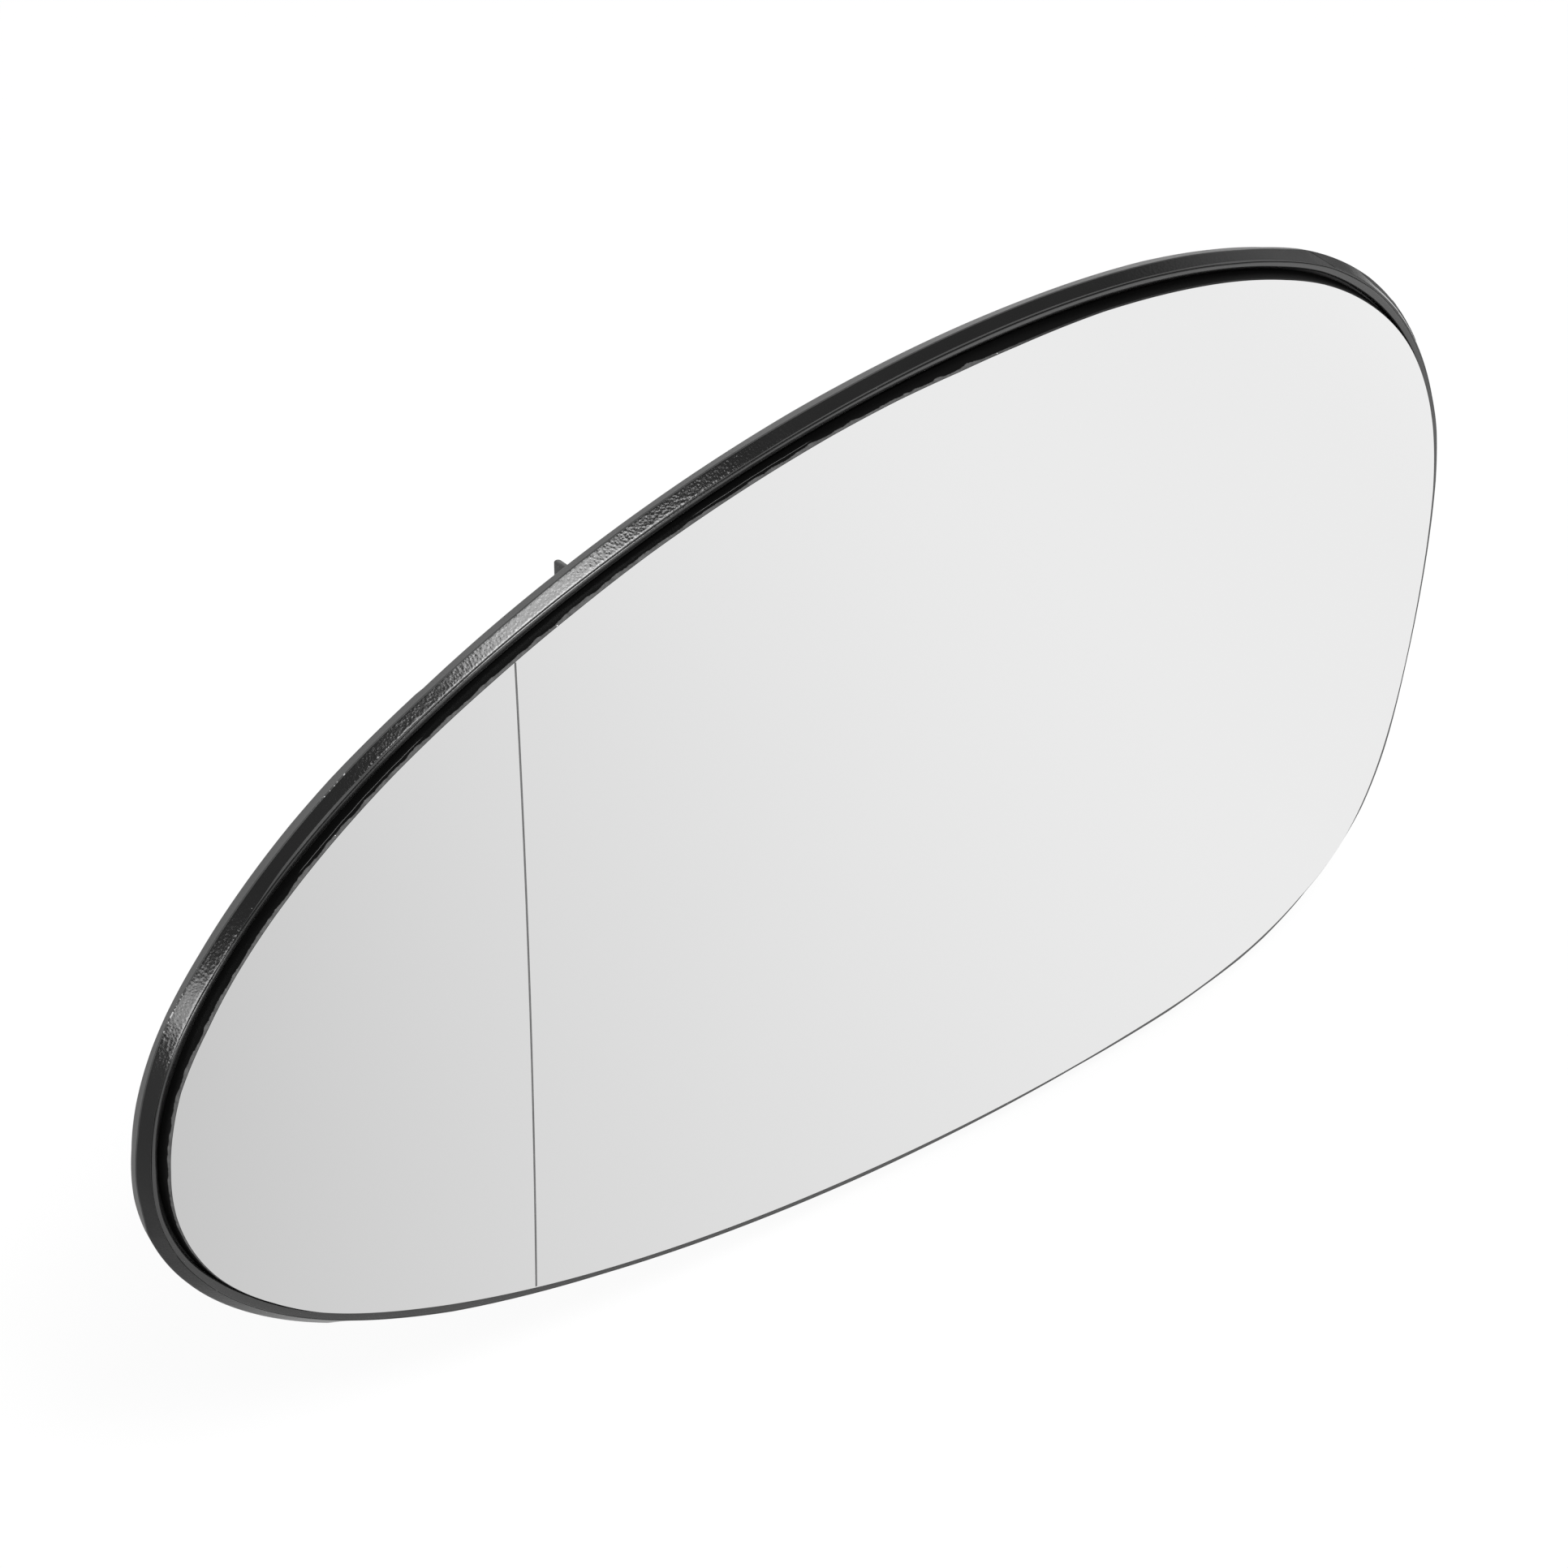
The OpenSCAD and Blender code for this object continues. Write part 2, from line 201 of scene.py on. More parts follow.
def outline_at(degrees, out=0.0, deep=0.0):
    """A point near the edge of the face, as x, y, z in millimetres."""
    step = degrees / 360 * len(OUTLINE)
    first, share = int(step), step - int(step)
    here, after = OUTLINE[first % len(OUTLINE)], OUTLINE[(first + 1) % len(OUTLINE)]
    plan = here[0].lerp(after[0], share) + here[1].lerp(after[1], share) * out
    return Vector((plan.x, FACE_Y + face_deep(plan.x, plan.y) + deep, plan.y))


# Node helpers. What takes sockets works in the tree of the first one.
def node(tree, kind, **settings):
    made = tree.nodes.new(kind)
    for key, value in settings.items():
        setattr(made, key, value)
    return made


def feed(socket, value):
    """Links a socket to another, or sets its value."""
    if isinstance(value, bpy.types.NodeSocket):
        socket.id_data.links.new(value, socket)
    elif value is not None:
        socket.default_value = value


def feed_all(made, inputs):
    """Feeds a node's inputs, given by label or number."""
    for label, value in inputs.items():
        feed(made.inputs[label], value)
    return made


def fed(tree, kind, inputs, **settings):
    """The first output of a new node whose inputs are fed."""
    return feed_all(node(tree, kind, **settings), inputs).outputs[0]


def calc(operation, *values):
    tree = next(v.id_data for v in values if isinstance(v, bpy.types.NodeSocket))
    return fed(tree, "ShaderNodeMath", dict(enumerate(values)), operation=operation)


def plus(a, b):
    return calc("ADD", a, b)


def minus(a, b):
    return calc("SUBTRACT", a, b)


def times(a, b):
    return calc("MULTIPLY", a, b)


def divided(a, b):
    return calc("DIVIDE", a, b)


def vector_calc(operation, a, b=None, scale=None):
    inputs = {0: a, 1: b} if scale is None else {0: a, "Scale": scale}
    return fed(a.id_data, "ShaderNodeVectorMath", inputs, operation=operation)


def split(place):
    """The X, Y and Z of a place."""
    return feed_all(node(place.id_data, "ShaderNodeSeparateXYZ"), {0: place}).outputs


def group_tree(name, kind, inputs, outputs):
    """A node group with named inputs, each a label, a kind and a value, and outputs. It gives the
    tree, the sockets of what is given to it, and those of its result."""
    tree = bpy.data.node_groups.new(name, kind)
    for label, socket, value in inputs:
        made = tree.interface.new_socket(label, in_out="INPUT", socket_type=socket)
        if value is not None:
            made.default_value = value
    for label, socket in outputs:
        tree.interface.new_socket(label, in_out="OUTPUT", socket_type=socket)
    return tree, node(tree, "NodeGroupInput").outputs, node(tree, "NodeGroupOutput").inputs


FLOAT, INT, VECTOR = "NodeSocketFloat", "NodeSocketInt", "NodeSocketVector"
GEOMETRY, OBJECT, MATERIAL = "NodeSocketGeometry", "NodeSocketObject", "NodeSocketMaterial"


# Geometry rules
def face_depth_group():
    """Depth of the bowed face behind its foremost point, from a place in the X and Z directions."""
    tree, given, result = group_tree(
        "face_depth", "GeometryNodeTree",
        [("Place", VECTOR, None),
         ("Face radius", FLOAT, FACE_R * MM),
         ("Outer end radius", FLOAT, OUTER_END_R * MM),
         ("Outer zone width", FLOAT, OUTER_ZONE_W * MM),
         ("Line x", FLOAT, LINE_X * MM)],
        [("Depth", FLOAT)])
    x, _, z = split(given["Place"])
    radius = given["Face radius"]
    square = plus(times(x, x), times(z, z))
    rest = minus(times(radius, radius), square)
    sphere = divided(square, plus(radius, calc("SQRT", rest)))
    past = calc("MAXIMUM", minus(given["Line x"], x), 0.0)
    bend = minus(divided(1.0, given["Outer end radius"]), divided(1.0, radius))
    growth = divided(calc("POWER", past, 3.0), times(given["Outer zone width"], 6.0))
    depth = plus(sphere, times(bend, growth))
    feed(result["Depth"], depth)
    return tree


FACE_DEPTH = face_depth_group()
SHARP_ANGLE = math.radians(28)
FINISHES = 8
WELD = 0.002


def named(tree, name, kind="FLOAT"):
    return fed(tree, "GeometryNodeInputNamedAttribute", {"Name": name}, data_type=kind)


def face_depth_at(place):
    return fed(place.id_data, "GeometryNodeGroup", {"Place": place}, node_tree=FACE_DEPTH)


def shaded(geometry):
    """Smooth faces, with the edges that turn sharply kept sharp."""
    tree = geometry.id_data
    smooth = fed(tree, "GeometryNodeSetShadeSmooth", {"Geometry": geometry}, domain="FACE")
    angle = node(tree, "GeometryNodeInputMeshEdgeAngle")
    sharp = calc("GREATER_THAN", angle.outputs["Unsigned Angle"], SHARP_ANGLE)
    return fed(tree, "GeometryNodeSetShadeSmooth",
               {"Geometry": smooth, "Selection": sharp, "Shade Smooth": False}, domain="EDGE")


def painted(geometry, given):
    """Sets the first finish all over, and each further one between two places across the section."""
    tree = geometry.id_data
    for k in range(FINISHES):
        chosen = None
        if k:
            across = named(tree, "across")
            after = calc("GREATER_THAN", across, given[f"From {k}"])
            before = calc("LESS_THAN", across, given[f"To {k}"])
            chosen = times(after, before)
        geometry = fed(tree, "GeometryNodeSetMaterial", {
            "Geometry": geometry, "Material": given[f"Finish {k}"], "Selection": chosen})
    return geometry


def moved_to(geometry, plan, y):
    """Puts each point over its place in plan, at a given Y."""
    lift = fed(y.id_data, "ShaderNodeCombineXYZ", {"Y": y})
    return fed(y.id_data, "GeometryNodeSetPosition",
               {"Geometry": geometry, "Position": vector_calc("ADD", plan, lift)})


def section_tree():
    """Lays a section round the outline of the face and bows it as the face is bowed."""
    bands = [("Finish 0", MATERIAL, None)]
    for k in range(1, FINISHES):
        bands += [(f"Finish {k}", MATERIAL, None), (f"From {k}", FLOAT, -1.0), (f"To {k}", FLOAT, -1.0)]
    tree, given, result = group_tree(
        "section_round_the_face", "GeometryNodeTree",
        [("Geometry", GEOMETRY, None), ("Section", OBJECT, None), ("Face y", FLOAT, FACE_Y * MM)] + bands,
        [("Geometry", GEOMETRY)])
    loop = fed(tree, "GeometryNodeMeshToCurve", {"Mesh": given["Geometry"]})
    section = node(tree, "GeometryNodeObjectInfo")
    feed(section.inputs["Object"], given["Section"])
    profile = fed(tree, "GeometryNodeMeshToCurve", {"Mesh": section.outputs["Geometry"]})
    swept = fed(tree, "GeometryNodeCurveToMesh", {"Curve": loop, "Profile Curve": profile})
    out, deep = named(tree, "out"), named(tree, "deep")
    for line, (outwards, deeper) in WAYS.items():
        moved = times(named(tree, line + "_move"), named(tree, line + "_share"))
        out = calc("MULTIPLY_ADD", moved, float(outwards), out)
        deep = calc("MULTIPLY_ADD", moved, float(deeper), deep)
    moved_out = vector_calc("SCALE", named(tree, "edge_out", "FLOAT_VECTOR"), scale=out)
    edge = vector_calc("ADD", named(tree, "edge_place", "FLOAT_VECTOR"), moved_out)
    plan = vector_calc("SCALE", edge, scale=named(tree, "shrink"))
    depth = plus(face_depth_at(plan), deep)
    placed = moved_to(swept, plan, plus(depth, given["Face y"]))
    closed = fed(tree, "GeometryNodeMergeByDistance", {"Geometry": placed, "Distance": WELD * MM})
    real = fed(tree, "GeometryNodeRealizeInstances", {0: shaded(closed)})
    feed(result[0], painted(real, given))
    return tree


def finished(tree, geometry, given, result):
    """Ends a rule: real geometry in the finish that is given."""
    real = fed(tree, "GeometryNodeRealizeInstances", {0: geometry})
    coloured = fed(tree, "GeometryNodeSetMaterial",
                   {"Geometry": real, "Material": given["Finish"]})
    feed(result[0], coloured)
    return tree


def attribute(mesh, name, values, kind="FLOAT"):
    made = mesh.attributes.new(name, kind, "POINT")
    key = "vector" if kind == "FLOAT_VECTOR" else "value"
    for item, value in zip(made.data, values):
        setattr(item, key, value)


def line_mesh(name, points, closed=False, breaks=()):
    """Edges from each point to the next, in metres; breaks are the points that start a new line."""
    mesh = bpy.data.meshes.new(name)
    edges = [(k, k + 1) for k in range(len(points) - 1) if k + 1 not in breaks]
    if closed:
        edges.append((len(points) - 1, 0))
    mesh.from_pydata([tuple(p) for p in points], edges, [])
    return mesh


def outline_mesh(name):
    places = [(p.x * MM, 0, p.y * MM) for p, _, _ in OUTLINE]
    mesh = line_mesh(name, places, closed=True)
    attribute(mesh, "edge_place", places, "FLOAT_VECTOR")
    attribute(mesh, "edge_out", [(o.x, 0, o.y) for _, o, _ in OUTLINE], "FLOAT_VECTOR")
    directions = [math.degrees(angle) for _, _, angle in OUTLINE]
    attribute(mesh, "direction", directions)
    attribute(mesh, "wear_here", [between(WEAR, d) for d in directions])
    for line in STRAYS:
        attribute(mesh, line + "_move", [line_move(line, d) * MM for d in directions])
    return mesh


def section_mesh(name, section):
    """A section as edges. Each point has how far out, how deep and how much drawn in it is, how
    worn it is, and its share of each line's moves."""
    mesh = line_mesh(name, [(k * MM, 0, 0) for k in range(len(section))])
    attribute(mesh, "out", [s[0] * MM for s in section])
    attribute(mesh, "deep", [s[1] * MM for s in section])
    attribute(mesh, "shrink", [s[2] for s in section])
    attribute(mesh, "worn", [s[3] for s in section])
    for line in STRAYS:
        attribute(mesh, line + "_share", [s[4].get(line, 0.0) for s in section])
    attribute(mesh, "across", list(range(len(section))))
    return mesh


def add_object(name, mesh):
    made = bpy.data.objects.new(name, mesh)
    bpy.context.scene.collection.objects.link(made)
    return made


def set_inputs(modifier, values):
    """Sets a modifier's inputs by the identifiers of their sockets."""
    sockets = {s.name: s.identifier for s in modifier.node_group.interface.items_tree
               if s.item_type == "SOCKET" and s.in_out == "INPUT"}
    for name, value in values.items():
        modifier[sockets[name]] = value


def applied(piece):
    """Turns a piece with its modifiers into a plain mesh."""
    bpy.context.view_layer.update()
    depsgraph = bpy.context.evaluated_depsgraph_get()
    mesh = bpy.data.meshes.new_from_object(piece.evaluated_get(depsgraph), depsgraph=depsgraph)
    piece.modifiers.clear()
    old = piece.data
    piece.data = mesh
    bpy.data.meshes.remove(old)
    mesh.name = piece.name
    return piece


def grown(name, mesh, tree, values):
    """A piece that a geometry tree makes from a mesh."""
    piece = add_object(name, mesh)
    modifier = piece.modifiers.new("rule", "NODES")
    modifier.node_group = tree
    set_inputs(modifier, values)
    return applied(piece)


def reworked(piece, edit):
    """Runs an edit on the mesh of a piece."""
    work = bmesh.new()
    work.from_mesh(piece.data)
    edit(work)
    work.to_mesh(piece.data)
    work.free()
    return piece


def face_outwards(work):
    """Turns the faces of one closed solid outwards."""
    if work.calc_volume(signed=True) < 0:
        bmesh.ops.reverse_faces(work, faces=work.faces)


def shells_outwards(work):
    """Turns the faces of each of several closed solids outwards."""
    bmesh.ops.remove_doubles(work, verts=work.verts, dist=0.001 * MM)
    bmesh.ops.recalc_face_normals(work, faces=work.faces)


def discard(*pieces):
    for piece in pieces:
        mesh = piece.data
        bpy.data.objects.remove(piece)
        bpy.data.meshes.remove(mesh)


def bevelled(piece, width=0.12, angle=35):
    """Rounds the edges of a moulded piece that turn by more than an angle."""
    modifier = piece.modifiers.new("soft_edges", "BEVEL")
    modifier.width = width * MM
    modifier.segments = 2
    modifier.limit_method = "ANGLE"
    modifier.angle_limit = math.radians(angle)
    modifier.harden_normals = False
    return applied(piece)


def cut(piece, cutter):
    """Takes the cutter's solids out of a piece."""
    modifier = piece.modifiers.new("cut", "BOOLEAN")
    modifier.operation = "DIFFERENCE"
    modifier.solver = "EXACT"
    modifier.object = cutter
    applied(piece)
    discard(cutter)
    return piece


def smooth_by_angle(piece, degrees=30):
    """Smooth faces, with the edges that turn by more than an angle kept sharp."""
    def edit(work):
        for face in work.faces:
            face.smooth = True
        for edge in work.edges:
            turn = edge.calc_face_angle(0.0) if len(edge.link_faces) == 2 else 0.0
            edge.smooth = turn < math.radians(degrees)
    return reworked(piece, edit)


# Finishes
def material(name):
    made = bpy.data.materials.new(name)
    made.use_nodes = True
    tree = made.node_tree
    return made, tree, tree.nodes["Principled BSDF"]


def object_place(tree):
    return node(tree, "ShaderNodeTexCoord").outputs["Object"]


def noise(place, scale, detail=2.0, roughness=0.5):
    return fed(place.id_data, "ShaderNodeTexNoise",
               {"Vector": place, "Scale": scale, "Detail": detail, "Roughness": roughness})


def spread(value, low, high, to_low=0.0, to_high=1.0, kind="SMOOTHSTEP"):
    """Takes a value from between two others to between two results."""
    return fed(value.id_data, "ShaderNodeMapRange", {
        "Value": value, "From Min": low, "From Max": high, "To Min": to_low, "To Max": to_high},
        interpolation_type=kind)


def near(value, middle, reach, full):
    """1 where a value is closer to a middle than full, falling to 0 at its reach."""
    away = calc("ABSOLUTE", minus(value, middle))
    return spread(away, reach, full)


def swing(value, width, middle):
    """Lets a noise swing about a middle."""
    return calc("MULTIPLY_ADD", minus(value, 0.5), width, middle)


def blend_colour(factor, a, b):
    made = node(factor.id_data, "ShaderNodeMix", data_type="RGBA")
    return feed_all(made, {"Factor": factor, 6: a, 7: b}).outputs[2]


def grey(level):
    return (level, level, level, 1.0)


def marking(tree, name):
    """What a point's attribute says."""
    return node(tree, "ShaderNodeAttribute", attribute_name=name).outputs["Fac"]


def from_group(tree, group, inputs):
    return fed(tree, "ShaderNodeGroup", inputs, node_tree=group)


# Grain, specks and wear: scales and heights beside those of the pebbles, sizes beside the spacing,
# and the levels from which a nick shows
WARP_SCALE, WARP_SHARE = 0.35, 0.5
PEBBLE_SCALE, PEBBLE_SMOOTHNESS = 0.8, 0.6
FINE_SCALE, FINE_ROUGHNESS = 1.9, 0.6
FINE_SHARE = 0.35
SPECK_SIZE = 0.09
WEAR_PATCHES = 90.0
WEAR_LIMIT, WEAR_GAIN, WEAR_SOFTNESS = 0.52, 0.4, 0.05


def moulded_grain_group():
    """Height of the pebbled grain that a spark-eroded mould leaves on plastic."""
    tree, given, result = group_tree(
        "moulded_grain", "ShaderNodeTree",
        [("Pebble size", FLOAT, 0.0003), ("Fine share", FLOAT, FINE_SHARE)],
        [("Height", FLOAT)])
    place = object_place(tree)
    scale = divided(1.0, given["Pebble size"])
    warp = noise(place, times(scale, WARP_SCALE), 1.0)
    pebbles = fed(tree, "ShaderNodeTexVoronoi", {
        "Vector": place, "Scale": times(scale, PEBBLE_SCALE),
        "Smoothness": PEBBLE_SMOOTHNESS, "Randomness": 1.0}, feature="SMOOTH_F1")
    fine = noise(place, times(scale, FINE_SCALE), 2.0, FINE_ROUGHNESS)
    coarse = plus(pebbles, times(warp, WARP_SHARE))
    mixed = plus(coarse, times(fine, given["Fine share"]))
    feed(result["Height"], mixed)
    return tree


def specks_group():
    """Mask of small pale specks, such as dust and moulding nicks."""
    tree, given, result = group_tree(
        "specks", "ShaderNodeTree",
        [("Spacing", FLOAT, 0.003), ("Amount", FLOAT, 0.3)],
        [("Mask", FLOAT)])
    dots = fed(tree, "ShaderNodeTexVoronoi", {
        "Vector": object_place(tree), "Scale": divided(1.0, given["Spacing"])},
        feature="F1")
    size = times(given["Amount"], SPECK_SIZE)
    feed(result["Mask"], calc("LESS_THAN", dots, size))
    return tree


def edge_wear_group():
    """Mask of the small nicks along a corner that is marked as worn."""
    tree, given, result = group_tree(
        "edge_wear", "ShaderNodeTree",
        [("Nick size", FLOAT, 0.0004), ("Amount", FLOAT, 0.4)],
        [("Mask", FLOAT)])
    place = object_place(tree)
    marked = times(marking(tree, "worn"), marking(tree, "wear_here"))
    nicks = noise(place, divided(1.0, given["Nick size"]), 2.0)
    patches = noise(place, WEAR_PATCHES, 1.0)
    both = times(nicks, times(patches, marked))
    limit = minus(WEAR_LIMIT, times(given["Amount"], WEAR_GAIN))
    worn = spread(both, limit, plus(limit, WEAR_SOFTNESS))
    feed(result["Mask"], worn)
    return tree


GRAIN = moulded_grain_group()
SPECKS = specks_group()
EDGE_WEAR = edge_wear_group()


def bumped(height, distance):
    """The normal of a face with a height on it, which is scaled to a distance."""
    return fed(height.id_data, "ShaderNodeBump",
               {"Strength": 1.0, "Distance": distance * MM, "Height": height})


# How the tone and the gloss of the moulding drift, and its dust and nicks
CLOUD_SCALE = 90.0
TONE_DRIFT, GLOSS_DRIFT = 0.2, 0.12
DUST_SPACING, DUST_AMOUNT, DUST_TONE = 2.6, 0.2, 0.1
NICK_SIZE, NICK_TONE = 0.35, 0.3


def black_moulding(name, level, roughness, gloss, pebble, pebble_deep, wear=0.4):
    """Black plastic, whose grain and gloss follow the mould's finish on that face."""
    made, tree, shader = material(name)
    cloud = noise(object_place(tree), CLOUD_SCALE, 3.0)
    tone = blend_colour(cloud, grey(level * (1 - TONE_DRIFT)), grey(level * (1 + TONE_DRIFT)))
    dust = from_group(tree, SPECKS, {"Spacing": DUST_SPACING * MM, "Amount": DUST_AMOUNT})
    tone = blend_colour(dust, tone, grey(level * 2 + DUST_TONE))
    nicks = from_group(tree, EDGE_WEAR, {"Nick size": NICK_SIZE * MM, "Amount": wear})
    tone = blend_colour(nicks, tone, grey(level + NICK_TONE))
    rough = spread(cloud, 0.3, 0.7, roughness * (1 - GLOSS_DRIFT), roughness * (1 + GLOSS_DRIFT))
    grain = from_group(tree, GRAIN, {"Pebble size": pebble * MM, "Fine share": FINE_SHARE})
    feed_all(shader, {"Base Color": tone, "Roughness": rough, "Specular IOR Level": gloss,
                      "Normal": bumped(grain, pebble_deep)})
    return made


def drifting(name, scale, detail, tones, roughness, over=(0.0, 1.0)):
    """A finish whose tone and roughness drift together, with its shader and the drift."""
    made, tree, shader = material(name)
    drift = noise(object_place(tree), scale, detail)
    feed_all(shader, {"Base Color": blend_colour(drift, *map(grey, tones)),
                      "Roughness": spread(drift, *over, *roughness)})
    return made, shader, drift


def silvering():
    """Polished pane with its silvering: a mirror with a breath of haze."""
    made, shader, _ = drifting("silvered_face", scale=14.0, detail=2.0, tones=(0.864, 0.874),
                               roughness=(0.012, 0.02), over=(0.2, 0.8))
    feed_all(shader, {"Metallic": 1.0})
    return made


def line_finish():
    """The fine line etched in the silvering."""
    return drifting("etched_line", scale=400.0, detail=3.0, tones=(0.05, 0.12), roughness=(0.3, 0.5))[0]


def bonding_film():
    """Soft black film pad between the pane and its carrier."""
    made, shader, fibres = drifting("bonding_film", scale=700.0, detail=3.0, tones=(0.02, 0.04),
                                    roughness=(0.7, 0.9))
    feed_all(shader, {"Normal": bumped(fibres, distance=0.03)})
    return made


# The edge of the pane. Its depths count in points of the pane's section from the edge of the face
# back: the ground corner lies between 0 and 1, and the black edge behind it.
GROUND_X = (0.03, 0.012)
RAGGED_SCALE, RAGGED_SWING = 1500.0, 0.2
SCALLOP_SCALE, SCALLOP_SWING = 420.0, (0.12, 0.55)
SCALLOP_DIRECTIONS = (182.0, 166.0)
CHIPS_MORE_IF_GROUND, CHIPS_REACH = 0.2, 0.86
CHIP_SOFTNESS = 0.03
FACE_LINE = (0.12, 0.3)
SCRATCH_AT, SCRATCH_SWING = 1.34, 0.1
SCRATCH_WIDTH = (0.03, 0.01)
SCRATCHES = ((99.8, 3.0, 2.4), (124.5, 6.2, 5.4))
RAGGED_TONES = (0.024, 0.115)
PLAIN_TONE, FACE_LINE_TONE, EDGE_DUST_TONE = 0.02, 0.03, 0.6
DARK_TONE, SCRATCH_TONE = 0.002, 0.08


def ground_edge():
    """Edge of the pane: a ground corner with small chips, black behind it, and two fine scratches."""
    made, tree, shader = material("ground_glass_edge")
    place = object_place(tree)
    depth = minus(marking(tree, "across"), float(FACE_EDGE_AT))
    direction = marking(tree, "direction")
    ragged = noise(place, RAGGED_SCALE, 3.0, 0.6)
    scallops = noise(place, SCALLOP_SCALE, 1.0)
    ground = spread(split(place)["X"], *GROUND_X)
    wide = calc("MULTIPLY_ADD", ground, CHIPS_MORE_IF_GROUND, CHIPS_REACH)
    reach = swing(ragged, RAGGED_SWING, wide)
    uneven = times(ground, spread(direction, *SCALLOP_DIRECTIONS, *SCALLOP_SWING))
    reach = swing(scallops, uneven, reach)
    chipped = spread(minus(reach, depth), -CHIP_SOFTNESS, CHIP_SOFTNESS)
    pale = blend_colour(ragged, *map(grey, RAGGED_TONES))
    pale = blend_colour(ground, grey(PLAIN_TONE), pale)
    dust = from_group(tree, SPECKS, {"Spacing": 1.1 * MM, "Amount": 0.55})
    pale = blend_colour(dust, pale, grey(EDGE_DUST_TONE))
    pale = blend_colour(spread(depth, *FACE_LINE), grey(FACE_LINE_TONE), pale)
    scratch = near(depth, swing(scallops, SCRATCH_SWING, SCRATCH_AT), *SCRATCH_WIDTH)
    here = plus(*(near(direction, *span) for span in SCRATCHES))
    scratched = times(scratch, here)
    dark = blend_colour(scratched, grey(DARK_TONE), grey(SCRATCH_TONE))
    feed_all(shader, {
        "Base Color": blend_colour(chipped, dark, pale), "Roughness": spread(chipped, 0.0, 1.0, 0.3, 0.6),
        "Specular IOR Level": 0.1, "Normal": bumped(ragged, distance=0.02)})
    return made


# Sections, as how far out, how deep, how much drawn in towards the hub's axis, how worn, and the
# share of each line's moves
ROUND_STEPS = 4


def rounded(corners):
    """Rounds each corner (out, deep, radius) of an open line; gives each point with its corner."""
    points = [(Vector(corners[0][:2]), 0)]
    for number in range(1, len(corners) - 1):
        before, here, after = corners[number - 1:number + 2]
        spot, radius = Vector(here[:2]), here[2]
        if radius == 0:
            points.append((spot, number))
            continue
        back = (Vector(before[:2]) - spot).normalized()
        on = (Vector(after[:2]) - spot).normalized()
        half = back.angle(on) / 2
        reach = radius / math.tan(half)
        middle = spot + (back + on).normalized() * radius / math.sin(half)
        first, last = spot + back * reach - middle, spot + on * reach - middle
        sweep = first.angle(last)
        for k in range(ROUND_STEPS + 1):
            share = k / ROUND_STEPS
            mix = first * math.sin((1 - share) * sweep) + last * math.sin(share * sweep)
            points.append((middle + mix / math.sin(sweep), number))
    points.append((Vector(corners[-1][:2]), len(corners) - 1))
    return points


def inner_part(deep, rings, inwards):
    """The points of a section between the hub's axis and the inset, outwards or inwards."""
    shares = [k / rings for k in range(rings)]
    if inwards:
        shares.reverse()
    return [(-INSET, deep, share, 0, {}) for share in shares]


FACE_RINGS = 22
BACK_RINGS = 10
# Where the pane's section reaches the edge of the face, and how many points its ground edge covers
FACE_EDGE_AT = FACE_RINGS + 2
PANE_EDGE_POINTS = 4


def pane_section():
    edge = [
        (-INSET, 0, 0), (-INSET / 2, 0, 0), (0, 0, 1), (*ARRIS, 1),
        (GLASS_EDGE_OUT, GLASS_T - GLASS_BACK_CORNER, 0),
        (GLASS_EDGE_OUT - GLASS_BACK_CORNER, GLASS_T, 0),
        (-INSET, GLASS_T, 0),
    ]
    return (inner_part(0, FACE_RINGS, False)
            + [(out, deep, 1, 0, {"face": share}) for out, deep, share in edge]
            + inner_part(GLASS_T, BACK_RINGS, True))


def pad_section():
    edge = [(-INSET, GLASS_T), (-INSET, FLOOR_DEEP)]
    return (inner_part(GLASS_T, BACK_RINGS, False) + [(out, deep, 1, 0, {}) for out, deep in edge]
            + inner_part(FLOOR_DEEP, BACK_RINGS, True))


# Corners of the rim's section, numbered by what starts there: how far out, how deep, how round,
# how worn, and the line that the corner follows
LAND_EDGE = (1.56, FACE_PROUD)
STEP_EDGE = (LAND_EDGE[0] + 0.06, FACE_PROUD + 0.078)
LEDGE = (STEP_EDGE[0] + 0.055, FACE_PROUD + 0.135)
SKIRT_TOP = (1.855, FACE_PROUD + 0.135)
LAND_DISH = 0.06
SECTION_CORNERS = [
    (-INSET, FLOOR_DEEP, 0, 0, None),
    (POCKET_OUT, FLOOR_DEEP, 0.03, 0, "pocket"),
    (POCKET_OUT, FACE_PROUD + LAND_DISH, 0.34, 0.5, "pocket"),
    (*LAND_EDGE, 0.02, 0.6, "land"),
    (*STEP_EDGE, 0, 0, "land"),
    (*LEDGE, 0, 0, "land"),
    (*SKIRT_TOP, 0.04, 0.4, "skirt"),
    (RIM_OUT, RIM_WIDE_DEEP, 0.2, 1, "widest"),
    (*RIM_REAR, 0.14, 0.3, "rear"),
    (LAND_OUT, BACK_DEEP, 0, 0, None),
    (-INSET, BACK_DEEP, 0, 0, None),
]
WALL_AT = 1
FLANK_AT, GROOVE_AT, LEDGE_AT, SKIRT_AT, REAR_AT, BACK_AT = range(3, 9)
SKIRT_LANES = 6
# How many points on each side of the widest line's middle the worn finish covers
CORNER_REACH = 2


